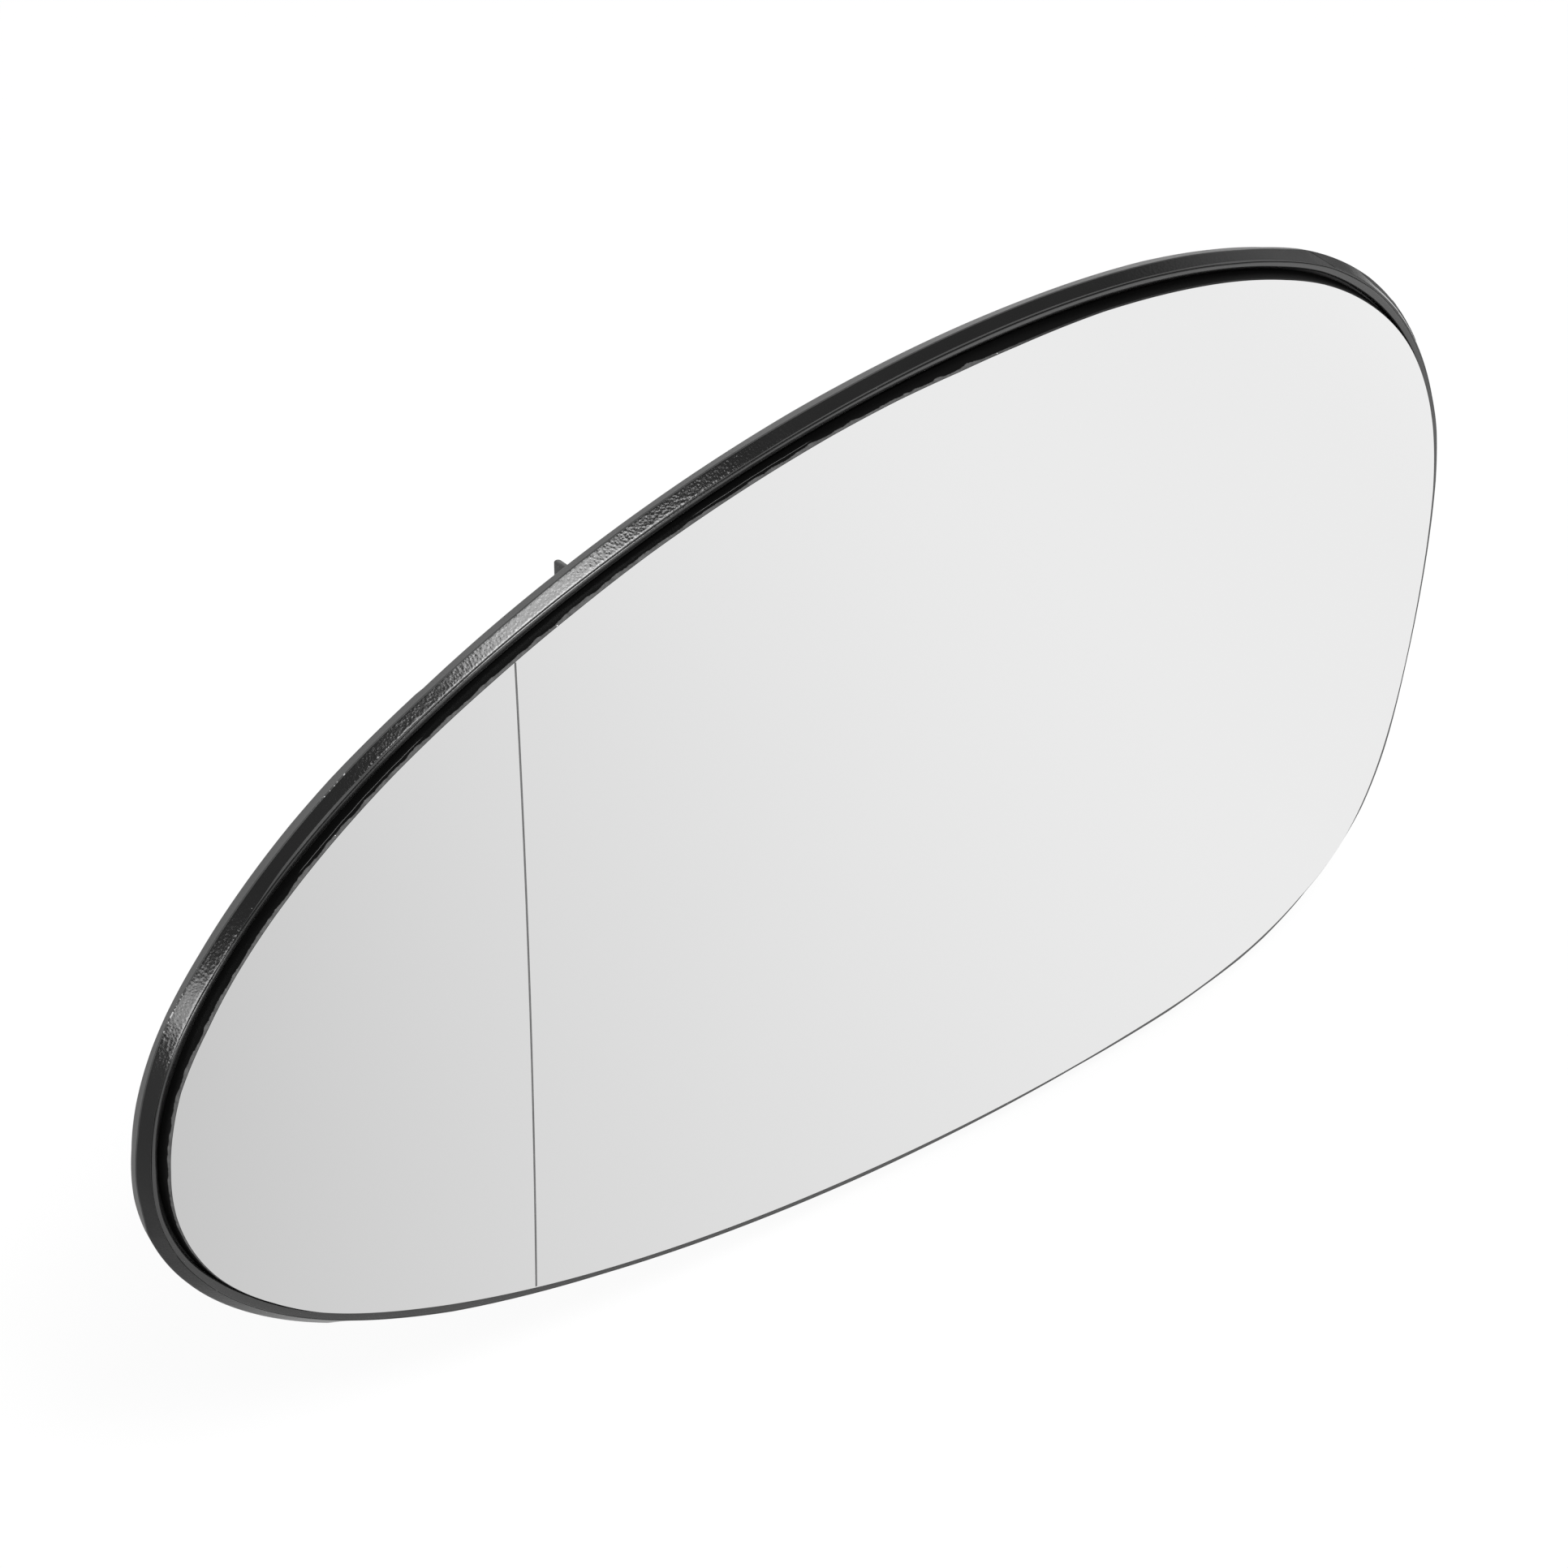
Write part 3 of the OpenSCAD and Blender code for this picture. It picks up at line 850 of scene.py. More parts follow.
def carrier_section():
    line = []
    for point, number in rounded(SECTION_CORNERS):
        worn, follows = SECTION_CORNERS[number][3:]
        if number == REAR_AT and line[-1][5] == SKIRT_AT:
            top = line[-1]
            for k in range(1, SKIRT_LANES):
                mix = k / SKIRT_LANES
                shares = {"skirt": 1 - mix, "skirt_run": 1 - mix, "widest": mix, "widest_run": mix}
                line.append((top[0] + (point.x - top[0]) * mix, top[1] + (point.y - top[1]) * mix,
                             1, 0, shares, SKIRT_AT))
        line.append((point.x, point.y, 1, worn, {follows: 1.0, f"{follows}_run": 1.0}, number))
    return inner_part(FLOOR_DEEP, BACK_RINGS, False) + line + inner_part(BACK_DEEP, BACK_RINGS, True)


def across_from(number):
    """The place across the carrier's section at the middle of a corner, without the lanes that
    follow it."""
    hits = [k for k, s in enumerate(carrier_section()) if len(s) > 5 and s[5] == number]
    hits = hits[:ROUND_STEPS + 1]
    return (hits[0] + hits[-1]) / 2


# The pane, the pad and the carrier's plate with its rim
def laid_section(name, section, finish, bands=()):
    """A piece whose section runs round the outline; each band is a finish and its ends across."""
    profile = add_object(name + "_section", section_mesh(name + "_section", section))
    values = {"Section": profile, "Face y": FACE_Y * MM, "Finish 0": finish}
    for k in range(1, FINISHES):
        band, low, high = bands[k - 1] if k <= len(bands) else (finish, -1.0, -1.0)
        values.update({f"Finish {k}": band, f"From {k}": low, f"To {k}": high})
    piece = grown(name, outline_mesh(name), SECTION_TREE, values)
    discard(profile)
    return reworked(piece, face_outwards)


SECTION_TREE = section_tree()


def make_pane():
    ends = float(FACE_EDGE_AT), float(FACE_EDGE_AT + PANE_EDGE_POINTS)
    piece = laid_section("pane", pane_section(), silvering(), [(ground_edge(), *ends)])
    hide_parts("mirror_glass")
    return piece


def make_pad():
    piece = laid_section("bonding_pad_film", pad_section(), bonding_film())
    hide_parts("bonding_pad")
    return piece


# The moulding's finishes: tone, roughness, gloss, and the size and depth of the grain in millimetres
LAND = black_moulding("smooth_land", 0.012, 0.15, 1.0, 0.5, 0.002)
# Painted shade: the groove's finish is near-black and dull, standing in for the shadow inside the fine
# groove
GROOVE_PAINTED_SHADE = black_moulding("rim_groove", 0.004, 0.6, 0.03, 0.3, 0.004, wear=0.0)
LEDGE_FINISH = black_moulding("satin_ledge", 0.035, 0.4, 0.35, 0.25, 0.004)
SKIRT = black_moulding("grained_skirt", 0.007, 0.13, 0.28, 0.24, 0.01)
FACET = black_moulding("smooth_facet", 0.009, 0.18, 0.3, 0.22, 0.004)
CORNER = black_moulding("rim_corner", 0.04, 0.6, 0.06, 0.25, 0.004, wear=0.66)
REAR_BAND = black_moulding("satin_rear", 0.065, 0.5, 0.5, 0.25, 0.004)
BACK = black_moulding("moulded_back", 0.03, 0.42, 0.5, 0.45, 0.008, wear=0.0)

WINDOW_FROM, WINDOW_TO = 20.9, 21.9
CLAW_COUNT = 8
CLAW_DEG = 24
WINDOW_DEG = 22
WINDOW_STEPS = 12


def skinned(work, rows, closed=False, weld=0.001):
    """Faces between rows of points in millimetres, with one at each end unless the rows close."""
    rings = [[work.verts.new(Vector(point) * MM) for point in row] for row in rows]
    after = rings[1:] + rings[:1] if closed else rings[1:]
    for a, b in zip(rings, after):
        for i in range(len(a)):
            j = (i + 1) % len(a)
            work.faces.new((a[i], a[j], b[j], b[i]))
    if not closed:
        work.faces.new(rings[0])
        work.faces.new(rings[-1])
    bmesh.ops.remove_doubles(work, verts=work.verts, dist=weld * MM)
    bmesh.ops.dissolve_degenerate(work, edges=work.edges, dist=0.0005 * MM)
    bmesh.ops.recalc_face_normals(work, faces=work.faces)


def turned(work, section, degrees=360.0, middle=0.0, steps=96):
    """A solid turned about the hub's axis from a closed section of (radius, height)."""
    whole = degrees >= 360
    rows = []
    for k in range(steps if whole else steps + 1):
        turn = math.radians(middle + degrees * (k / steps - 0.5))
        rows.append([(r * math.cos(turn), y, r * math.sin(turn)) for r, y in section])
    skinned(work, rows, whole)


def block(work, size, place):
    """A box about the origin, then moved by a matrix, in millimetres."""
    matrix = Matrix.Scale(MM, 4) @ place @ Matrix.Diagonal((*size, 1))
    bmesh.ops.create_cube(work, size=1, matrix=matrix)


def bmesh_object(name, build, finish=None):
    work = bmesh.new()
    build(work)
    mesh = bpy.data.meshes.new(name)
    work.to_mesh(mesh)
    work.free()
    if finish:
        mesh.materials.append(finish)
    return add_object(name, mesh)


def window_cutter(work):
    low, high = FACE_Y, BACK_Y + 1
    section = [(WINDOW_FROM, low), (WINDOW_TO, low), (WINDOW_TO, high), (WINDOW_FROM, high)]
    for k in range(CLAW_COUNT):
        turned(work, section, WINDOW_DEG, k * 360 / CLAW_COUNT, WINDOW_STEPS)


def make_plate_and_rim():
    edges = {number: across_from(number) for number in range(WALL_AT, BACK_AT + 1)}
    corner = edges[REAR_AT]
    piece = laid_section("plate_and_rim", carrier_section(), BACK, [
        (LAND, edges[WALL_AT], edges[SKIRT_AT]),
        (FACET, edges[FLANK_AT], edges[GROOVE_AT]),
        # The groove band carries painted shade
        (GROOVE_PAINTED_SHADE, edges[GROOVE_AT], edges[LEDGE_AT]),
        (LEDGE_FINISH, edges[LEDGE_AT], edges[SKIRT_AT]),
        (SKIRT, edges[SKIRT_AT], corner),
        (REAR_BAND, corner, edges[BACK_AT] + 1),
        (CORNER, corner - CORNER_REACH, corner + CORNER_REACH)])
    cut(piece, bmesh_object("window_cutter", window_cutter))
    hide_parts("carrier")
    return piece


# Ribs behind the plate
RIB_W = 1.2
RIB_TOP = 3.6
RING_RIB_INSET = 7.6
CROSS_RIB_X = (-52, 60)
RING_POINTS_NEAR = 12
HUB_R = 22
CLAW_T = 1.5
SPOKE_FROM = HUB_R + CLAW_T / 2


def rib_tree():
    """Ribs along lines, with flat tops and feet that sink into the bowed plate."""
    tree, given, result = group_tree(
        "ribs_on_the_plate", "GeometryNodeTree",
        [("Geometry", GEOMETRY, None), ("Rib width", FLOAT, RIB_W * MM), ("Top y", FLOAT, 0.0),
         ("Foot behind the face", FLOAT, 0.0), ("Face y", FLOAT, 0.0), ("Spacing", FLOAT, 0.002),
         ("Finish", MATERIAL, None)],
        [("Geometry", GEOMETRY)])
    lines = fed(tree, "GeometryNodeMeshToCurve", {"Mesh": given["Geometry"]})
    even = fed(tree, "GeometryNodeResampleCurve",
               {"Curve": lines, "Length": given["Spacing"]}, mode="LENGTH")
    upright = fed(tree, "GeometryNodeSetCurveNormal", {0: even}, mode="Z_UP")
    bar = fed(tree, "GeometryNodeCurvePrimitiveQuadrilateral",
              {"Width": given["Rib width"], "Height": 2 * MM})
    swept = fed(tree, "GeometryNodeCurveToMesh",
                {"Curve": upright, "Profile Curve": bar, "Fill Caps": True})
    here = split(node(tree, "GeometryNodeInputPosition").outputs[0])
    plan = fed(tree, "ShaderNodeCombineXYZ", {"X": here["X"], "Z": here["Y"]})
    foot = plus(face_depth_at(plan), given["Foot behind the face"])
    foot = plus(foot, given["Face y"])
    is_top = calc("GREATER_THAN", here["Z"], 0.0)
    top = minus(given["Top y"], named(tree, "lower"))
    rise = times(is_top, minus(top, foot))
    placed = moved_to(swept, plan, plus(foot, rise))
    return finished(tree, placed, given, result)


def ring_rib_points():
    return [p - o * RING_RIB_INSET for p, o, _ in OUTLINE]


def reach_of_ring(direction):
    """Distance from the hub's axis to the ring rib along a direction in degrees."""
    turn = math.radians(direction)
    ray, side = Vector((math.cos(turn), math.sin(turn))), Vector((-math.sin(turn), math.cos(turn)))
    best = min((p for p in ring_rib_points() if p.dot(ray) > 0), key=lambda p: abs(p.dot(side)))
    return best.dot(ray)


def heights_of_ring(x):
    close = sorted(ring_rib_points(), key=lambda p: abs(p.x - x))[:RING_POINTS_NEAR]
    return min(p.y for p in close), max(p.y for p in close)


# How much lower than the ring rib the spokes and the cross ribs are, so that each meets the next clearly
SPOKES_LOWER, CROSS_RIBS_LOWER = 0.05, 0.1


def make_ribs():
    points = [tuple(p) for p in ring_rib_points()]
    breaks = [0]
    points.append(points[0])
    lower = [0.0] * len(points)
    spokes = [(k + 0.5) * 360 / CLAW_COUNT for k in range(CLAW_COUNT)] + [0, 180, 270]
    for direction in spokes:
        turn = math.radians(direction)
        breaks.append(len(points))
        for radius in (SPOKE_FROM, reach_of_ring(direction)):
            points.append((radius * math.cos(turn), radius * math.sin(turn)))
            lower.append(SPOKES_LOWER * MM)
    for x in CROSS_RIB_X:
        breaks.append(len(points))
        points += [(x, z) for z in heights_of_ring(x)]
        lower += [CROSS_RIBS_LOWER * MM] * 2
    mesh = line_mesh("ribs", [(x * MM, z * MM, 0) for x, z in points], breaks=breaks)
    attribute(mesh, "lower", lower)
    piece = grown("ribs", mesh, rib_tree(), {
        "Rib width": RIB_W * MM, "Top y": (BACK_Y + RIB_TOP) * MM, "Face y": FACE_Y * MM,
        "Foot behind the face": (BACK_DEEP - PLATE_T / 2) * MM, "Spacing": 2 * MM, "Finish": BACK})
    reworked(piece, shells_outwards)
    bevelled(piece)
    return smooth_by_angle(piece)


# Hub with its crown of claws
CLAW_H = 9
CATCH_IN = 0.8
CATCH_LAND = 0.9
CATCH_LEAD = 1.4
COLLAR_BACK = 0.3
CLAW_CHAMFER = 0.4
COLLAR_CHAMFER = 0.15


def claw_section():
    outer = HUB_R + CLAW_T
    catch = CLAW_H - CATCH_LEAD - CATCH_LAND
    points = [
        (HUB_R, -PLATE_T / 2), (outer, -PLATE_T / 2), (outer, CLAW_H - CLAW_CHAMFER),
        (outer - CLAW_CHAMFER, CLAW_H), (HUB_R, CLAW_H), (HUB_R - CATCH_IN, CLAW_H - CATCH_LEAD),
        (HUB_R - CATCH_IN, catch), (HUB_R, catch - CATCH_IN / 2),
    ]
    return [(r, y + BACK_Y) for r, y in points]


def crown_tree():
    """Repeats one claw about the hub's axis."""
    tree, given, result = group_tree(
        "crown_of_claws", "GeometryNodeTree",
        [("Geometry", GEOMETRY, None), ("Claw count", INT, CLAW_COUNT), ("Finish", MATERIAL, None)],
        [("Geometry", GEOMETRY)])
    count = given["Claw count"]
    spots = fed(tree, "GeometryNodeMeshLine", {"Count": count, "Offset": (0, 0, 0)})
    index = node(tree, "GeometryNodeInputIndex").outputs[0]
    turn = divided(times(index, 2 * math.pi), count)
    copies = fed(tree, "GeometryNodeInstanceOnPoints", {
        "Points": spots, "Instance": given["Geometry"],
        "Rotation": fed(tree, "ShaderNodeCombineXYZ", {"Y": turn})})
    return finished(tree, copies, given, result)


def make_claws():
    claw = bmesh_object("hub_claws", lambda work: turned(work, claw_section(), CLAW_DEG, 0, 10))
    bevelled(claw)
    mesh = claw.data.copy()
    discard(claw)
    piece = grown("hub_claws", mesh, crown_tree(), {"Claw count": CLAW_COUNT, "Finish": BACK})
    return smooth_by_angle(piece)


def make_collar():
    inner, outer = HUB_R + COLLAR_BACK, HUB_R + CLAW_T - COLLAR_BACK
    section = [(inner, -PLATE_T / 2), (outer, -PLATE_T / 2), (outer, RIB_TOP - COLLAR_CHAMFER),
               (outer - COLLAR_CHAMFER, RIB_TOP), (inner + COLLAR_CHAMFER, RIB_TOP),
               (inner, RIB_TOP - COLLAR_CHAMFER)]
    section = [(r, y + BACK_Y) for r, y in section]
    return smooth_by_angle(bmesh_object("hub_collar", lambda work: turned(work, section), BACK))


# Sockets for the spindles. The foot is given as how far out from the wall and how high it reaches,
# and the brim as how far in and how far down.
SOCKET_REACH = 35
BALL_R = 4.0
SOCKET_R = 6.3
SOCKET_H = 8
SOCKET_FLOOR = 0.6
SOCKET_FOOT = ((0.8, -PLATE_T / 3), (0.8, 0.6), (0.3, 0.95), (0, 1.6))
SOCKET_BRIM = ((0, 0.5), (0.15, 0.15), (0.5, 0))
SEAT_DEGREES = range(0, 81, 9)
MOUTH = 0.6
SLIT_W = 1.2
SLIT_FLOOR = 2.4


def socket_section():
    seat_y = BALL_R + SOCKET_FLOOR
    wall = [(0, -PLATE_T / 3)] + [(SOCKET_R + out, up) for out, up in SOCKET_FOOT]
    wall += [(SOCKET_R - inwards, SOCKET_H - down) for inwards, down in SOCKET_BRIM]
    wall += [(BALL_R + MOUTH, SOCKET_H), (BALL_R, SOCKET_H - MOUTH)]
    ball = [(BALL_R * math.cos(t), seat_y - BALL_R * math.sin(t))
            for t in map(math.radians, SEAT_DEGREES)]
    return wall + ball + [(0, seat_y - BALL_R)]


def slits(work):
    for degrees in (45, 135):
        turn = Matrix.Rotation(math.radians(degrees), 4, "Y")
        lift = Matrix.Translation((0, SLIT_FLOOR + SOCKET_H / 2, 0))
        block(work, (2 * SOCKET_R + 2, SOCKET_H, SLIT_W), turn @ lift)


def make_socket(name, x, z):
    piece = bmesh_object(name, lambda work: turned(work, socket_section(), steps=72), BACK)
    cut(piece, bmesh_object("slits", slits))
    piece.data.transform(Matrix.Translation(Vector((x, BACK_Y + face_deep(x, z), z)) * MM))
    bevelled(piece, width=0.1, angle=50)
    return smooth_by_angle(piece)


# Guide fin behind the upper edge, and the nib on the rim
FIN_X = -32.5
FIN_W = 1.3
FIN_TOP_Z = 44
FIN_FOOT_Z = 37.8
FIN_TIP_Y = 6.0
FIN_TAPER = 0.6
FIN_LEAN = 0.1
FIN_TIP_ROUND = 0.48
NIBS = ((36.0, 1.2, 0.06), (34.2, 0.9, 0.04))
NIB_DEEP = (2.5, 3.3)
NIB_SUNK = 0.6


def at_fin_tip(vert):
    return vert.co.y > (BACK_Y + FIN_TIP_Y - 0.1) * MM


def fin(work):
    middle = (FIN_X, BACK_Y + FIN_TIP_Y / 2, (FIN_TOP_Z + FIN_FOOT_Z) / 2)
    block(work, (FIN_W, FIN_TIP_Y, FIN_TOP_Z - FIN_FOOT_Z), Matrix.Translation(middle))
    for vert in filter(at_fin_tip, work.verts):
        vert.co.x = (FIN_X + FIN_LEAN) * MM + (vert.co.x - FIN_X * MM) * FIN_TAPER
    tips = [edge for edge in work.edges if all(map(at_fin_tip, edge.verts))
            and abs(edge.verts[0].co.x - edge.verts[1].co.x) < 0.01 * MM]
    bmesh.ops.bevel(work, geom=tips, offset=FIN_W * FIN_TAPER * FIN_TIP_ROUND * MM, segments=8,
                    affect="EDGES", profile=0.5)


def make_fin():
    piece = bmesh_object("guide_fin", fin, BACK)
    bevelled(piece, angle=50)
    return smooth_by_angle(piece)


def nibs(work):
    """The nib with a lower one beside it; each is a direction, a length and how proud it is."""
    depth = NIB_DEEP[1] - NIB_DEEP[0]
    for direction, length, proud in NIBS:
        front = outline_at(direction, RIM_OUT + line_move("widest", direction), NIB_DEEP[0])
        turn = Matrix.Rotation(-math.radians(direction), 4, "Y")
        middle = Matrix.Translation(((proud - NIB_SUNK) / 2, depth / 2, 0))
        block(work, (NIB_SUNK + proud, depth, length), Matrix.Translation(front) @ turn @ middle)


def make_nib():
    piece = bmesh_object("rim_nib", nibs, CORNER)
    bevelled(piece, width=0.08, angle=50)
    return smooth_by_angle(piece)


# A smoother facet on the skirt about the upper inner corner, with a slanted start, and outside its lower
# end a dull strip laid on the skirt as painted shade, which darkens the corner there
FACET_FROM, FACET_TO = 36.0, 59.3
FACET_FULL_FROM = 54.5
FACET_END = [(36, 0.4), (44, 0.45), (48, 1.0), (60, 1.0)]
SHADE_STRIP_FROM, SHADE_STRIP_TO = 26.0, 47.0
FACET_START_MOST = 0.96
SHADE_STRIP_OVERLAP = 0.02
# How far the strips lie off the skirt and their edges under it, how soon they rise, how much they
# thin out across, their steps in degrees, and how far short of the widest line they end
FACET_LIFT, SHADE_STRIP_LIFT = 0.045, 0.036
STRIP_SUNK = -0.05
STRIP_RAMP = 0.1
STRIP_FALL = 0.7
STRIP_STEP = 0.3
STRIP_LANES = (0.0, 0.25, 0.5, 0.75, 1.0)
STRIP_FOOT_BACK = (0.06, 0.07)


def on_skirt(degrees, share, lift):
    """A point on the skirt, from its top (0) to the widest line (1), lifted off its face."""
    top = Vector((SKIRT_TOP[0] + line_move("skirt", degrees), SKIRT_TOP[1]))
    foot = Vector((RIM_OUT + line_move("widest", degrees), RIM_WIDE_DEEP)) - Vector(STRIP_FOOT_BACK)
    off = Vector((foot.y - top.y, top.x - foot.x)).normalized()
    spot = top.lerp(foot, share) + off * lift
    return outline_at(degrees, spot.x, spot.y)


def skirt_strip(name, finish, low, high, span, lift):
    """A thin strip on the skirt between two directions; span gives where it starts and ends across."""
    rows = []
    degrees = high
    while degrees > low:
        start, end = span(degrees)
        row = [on_skirt(degrees, start, STRIP_SUNK)]
        for lane in STRIP_LANES:
            ramp = STRIP_RAMP if lane < 1 else 0.0
            share = start + (end - start) * (lane + ramp)
            row.append(on_skirt(degrees, min(end, share), lift * (1.0 - STRIP_FALL * lane)))
        row.append(on_skirt(degrees, end, STRIP_SUNK))
        rows.append(row)
        degrees -= STRIP_STEP
    piece = bmesh_object(name, lambda work: skinned(work, rows, weld=WELD), finish)
    return smooth_by_angle(piece, 20)


def facet_span(degrees):
    start = (degrees - FACET_FULL_FROM) / (FACET_TO - FACET_FULL_FROM)
    return max(0.0, min(FACET_START_MOST, start)), between(FACET_END, degrees)


def shade_strip_span(degrees):
    return between(FACET_END, degrees) - SHADE_STRIP_OVERLAP, 1.0


def make_facet():
    return skirt_strip("corner_facet", FACET, FACET_FROM, FACET_TO, facet_span, FACET_LIFT)


# Painted shade: a dull, dark strip laid over the skirt at the upper inner corner
def make_painted_shade_strip():
    return skirt_strip("dull_corner", CORNER, SHADE_STRIP_FROM, SHADE_STRIP_TO, shade_strip_span, SHADE_STRIP_LIFT)


# The dividing line
LINE_W = 0.24
LINE_PROUD = 0.006
LINE_STEPS = 160


def make_line():
    """A strip as fine as a hair, on the face from edge to edge."""
    ends = []
    for top in (True, False):
        side = [p for p, _, _ in OUTLINE if (p.y > 0) == top]
        ends.append(min(side, key=lambda p: abs(p.x - LINE_X)).y)
    high, low = ends
    rows = []
    for k in range(LINE_STEPS + 1):
        z = low + (high - low) * k / LINE_STEPS
        row = []
        for dx, dy in ((-1, 1), (-1, -1), (1, -1), (1, 1)):
            x = LINE_X + dx * LINE_W / 2
            row.append((x, FACE_Y + face_deep(x, z) + dy * LINE_PROUD, z))
        rows.append(row)
    piece = bmesh_object("dividing_line", lambda work: skinned(work, rows), line_finish())
    return smooth_by_angle(piece)


# Stage: a pale floor, soft light and the camera
FLOOR_SIZE = 6.0
FLOOR_GAP = 0.0006
FLOOR_NEAR, FLOOR_FAR = 0.655, 0.955
FLOOR_RISE = 1.6
SHEEN_FROM, SHEEN_TO = -0.085, 0.075
SHEEN_DIRECTION = 20
FLOOR_SHOWN_LIT = 0.08
FAR_GLOW = ((0.12, 0.32, 0.5), (0.34, 0.6, -0.85), (0.6, 1.0, -0.25))


def mixed_shader(factor, a, b):
    return fed(factor.id_data, "ShaderNodeMixShader", {0: factor, 1: a, 2: b})


def ray_kinds(tree):
    """Which rays are glossy ones, and which come from the camera, straight or through glass."""
    rays = node(tree, "ShaderNodeLightPath").outputs
    return rays["Is Glossy Ray"], calc("MAXIMUM", rays["Is Camera Ray"], rays["Is Transmission Ray"])


def floor_material():
    """Pale floor. To the camera it is white, and to gloss it brightens softly along its length."""
    made, tree, shader = material("pale_floor")
    place = object_place(tree)
    x, y, _ = split(place)
    turn = math.radians(SHEEN_DIRECTION)
    along = plus(times(x, math.cos(turn)), times(y, math.sin(turn)))
    ramp = spread(along, SHEEN_FROM, SHEEN_TO, kind="LINEAR")
    rise = minus(1.0, calc("POWER", minus(1.0, ramp), FLOOR_RISE))
    glow = plus(FLOOR_NEAR, times(rise, FLOOR_FAR - FLOOR_NEAR))
    for start, end, change in FAR_GLOW:
        glow = plus(glow, spread(along, start, end, 0.0, change))
    pale = noise(place, 30.0, 2.0)
    feed_all(shader, {"Base Color": blend_colour(pale, grey(0.78), grey(0.82)), "Roughness": 0.8,
                      "Specular IOR Level": 0.1})
    white = fed(tree, "ShaderNodeEmission", {})
    seen = fed(tree, "ShaderNodeEmission", {"Strength": glow})
    glossy, to_camera = ray_kinds(tree)
    lit = mixed_shader(glossy, shader.outputs[0], seen)
    shown = mixed_shader(times(to_camera, 1 - FLOOR_SHOWN_LIT), lit, white)
    feed_all(tree.nodes["Material Output"], {"Surface": shown})
    return made


def make_floor():
    mesh = bpy.data.meshes.new("floor")
    half, z = FLOOR_SIZE / 2, carrier_low[2] - FLOOR_GAP
    corners = [(-half, -half, z), (half, -half, z), (half, half, z), (-half, half, z)]
    mesh.from_pydata(corners, [], [(0, 1, 2, 3)])
    mesh.materials.append(floor_material())
    floor = add_object("floor", mesh)


# The world's light, and what gloss sees of it: in front and behind, at the right, and low behind,
# each between two places along an axis of the direction
WORLD_LIGHT = 0.72
WORLD_SEEN = 1.0
WORLD_GLOSS_FRONT, WORLD_GLOSS_BEHIND = 0.3, 0.45
FRONT_TO_BEHIND_Y = (-0.35, 0.3)
WORLD_GLOSS_RIGHT = 1.0
RIGHT_X, RIGHT_Y = (0.72, 0.93), (0.17, 0.1)
WORLD_GLOSS_LOW_BEHIND = 1.6
LOW_BEHIND_X, LOW_BEHIND_Y, LOW_BEHIND_Z = (0.25, 0.55), (0.45, 0.65), (0.6, 0.3)


def make_world():
    """Even light all round, white to the camera; to gloss the room in front is dimmer."""
    world = bpy.data.worlds.new("studio")
    bpy.context.scene.world = world
    world.use_nodes = True
    tree = world.node_tree
    light = tree.nodes["Background"]
    glossy, to_camera = ray_kinds(tree)
    level = plus(WORLD_LIGHT, times(to_camera, WORLD_SEEN - WORLD_LIGHT))
    x, y, z = split(node(tree, "ShaderNodeTexCoord").outputs["Generated"])
    gloss = spread(y, *FRONT_TO_BEHIND_Y, WORLD_GLOSS_FRONT, WORLD_GLOSS_BEHIND)
    right = times(spread(x, *RIGHT_X, 0.0, WORLD_GLOSS_RIGHT), spread(y, *RIGHT_Y))
    gloss = calc("MAXIMUM", gloss, right)
    low_behind = times(spread(x, *LOW_BEHIND_X), spread(z, *LOW_BEHIND_Z, 0.0, WORLD_GLOSS_LOW_BEHIND))
    low_behind = times(low_behind, spread(y, *LOW_BEHIND_Y))
    gloss = plus(gloss, low_behind)
    change = times(glossy, minus(gloss, WORLD_LIGHT))
    feed_all(light, {"Color": grey(1.0), "Strength": plus(level, change)})


def from_angles(azimuth, elevation):
    a, e = math.radians(azimuth), math.radians(elevation)
    return Vector((math.sin(a) * math.cos(e), -math.cos(a) * math.cos(e), math.sin(e)))


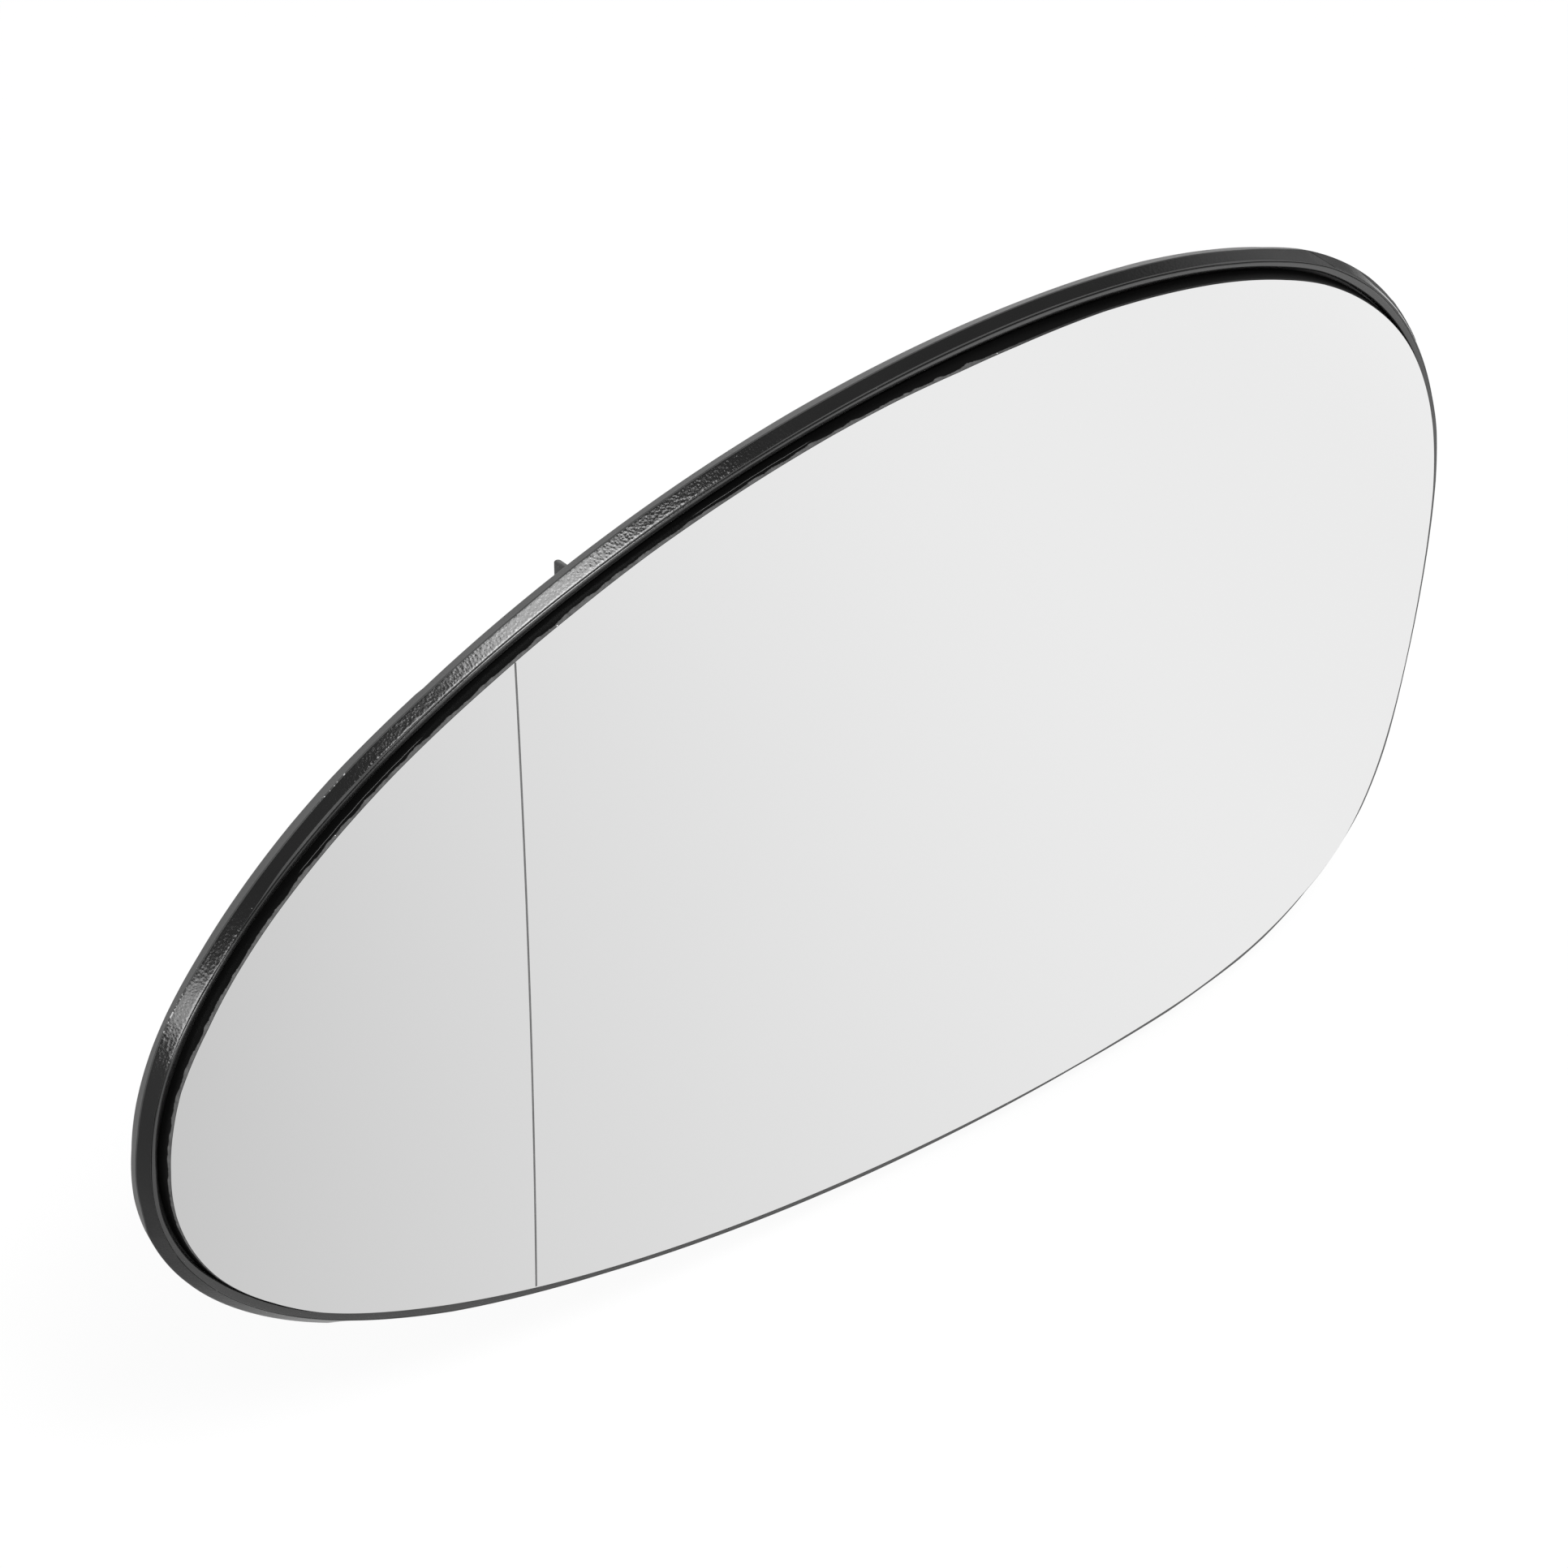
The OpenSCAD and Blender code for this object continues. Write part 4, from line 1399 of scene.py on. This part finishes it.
# Each soft light: the two directions it reaches between, each an azimuth and an elevation in
# degrees, how wide it is across in degrees, and its radiance
SOFTBOXES = {
    "key_softbox": ((23.0, 60.8), (-35.5, 50.2), 6, 22),
    "key_softbox_middle": ((8.0, 61.5), (-20.0, 57.3), 22, 17),
    "side_softbox": ((-58.2, 23.0), (-67.0, -2.0), 5, 16),
    "side_softbox_middle": ((-61.6, 15.4), (-65.2, 4.6), 20, 10),
}
SOFTBOX_AWAY = 1.2


def softbox(name, start, end, across, radiance):
    """A soft light seen from the unit as a band."""
    first, last = from_angles(*start), from_angles(*end)
    middle, along = (first + last).normalized(), (last - first).normalized()
    lamp = bpy.data.lights.new(name, "AREA")
    lamp.shape = "RECTANGLE"
    lamp.size = 2 * SOFTBOX_AWAY * math.tan(first.angle(last) / 2)
    lamp.size_y = 2 * SOFTBOX_AWAY * math.tan(math.radians(across / 2))
    lamp.energy = radiance * math.pi * lamp.size * lamp.size_y
    turn = Matrix((along, middle.cross(along), middle)).transposed().to_4x4()
    add_object(name, lamp).matrix_world = Matrix.Translation(middle * SOFTBOX_AWAY) @ turn


VIEW_AZIMUTH = -39.65
VIEW_ELEVATION = 37.1
VIEW_DISTANCE = 620
VIEW_TARGET = (-10.64, 0.0, 10.89)
LENS = 136.0
SENSOR = 36.0


def make_camera():
    """The camera stands where the photo's own perspective puts it."""
    data = bpy.data.cameras.new("camera")
    data.sensor_width = SENSOR
    data.lens = LENS
    data.clip_start = 0.01
    camera = add_object("camera", data)
    direction = from_angles(VIEW_AZIMUTH, VIEW_ELEVATION)
    target = Vector((VIEW_TARGET[0], FACE_Y + VIEW_TARGET[1], VIEW_TARGET[2]))
    camera.location = (target + direction * VIEW_DISTANCE) * MM
    camera.rotation_euler = direction.to_track_quat("Z", "Y").to_euler()
    bpy.context.scene.camera = camera


def make_unit():
    pieces = [make_pane(), make_line(), make_pad()]
    moulding = [make_plate_and_rim(), make_ribs(), make_collar(), make_claws(),
                make_socket("spindle_socket_inner", SOCKET_REACH, 0),
                make_socket("spindle_socket_lower", 0, -SOCKET_REACH),
                make_fin(), make_nib(), make_facet(), make_painted_shade_strip()]
    for piece in pieces + moulding:
        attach(piece, "root")


make_camera()
make_unit()
make_floor()
make_world()
for name, band in SOFTBOXES.items():
    softbox(name, *band)

scene = bpy.context.scene
scene.view_settings.view_transform = "Standard"
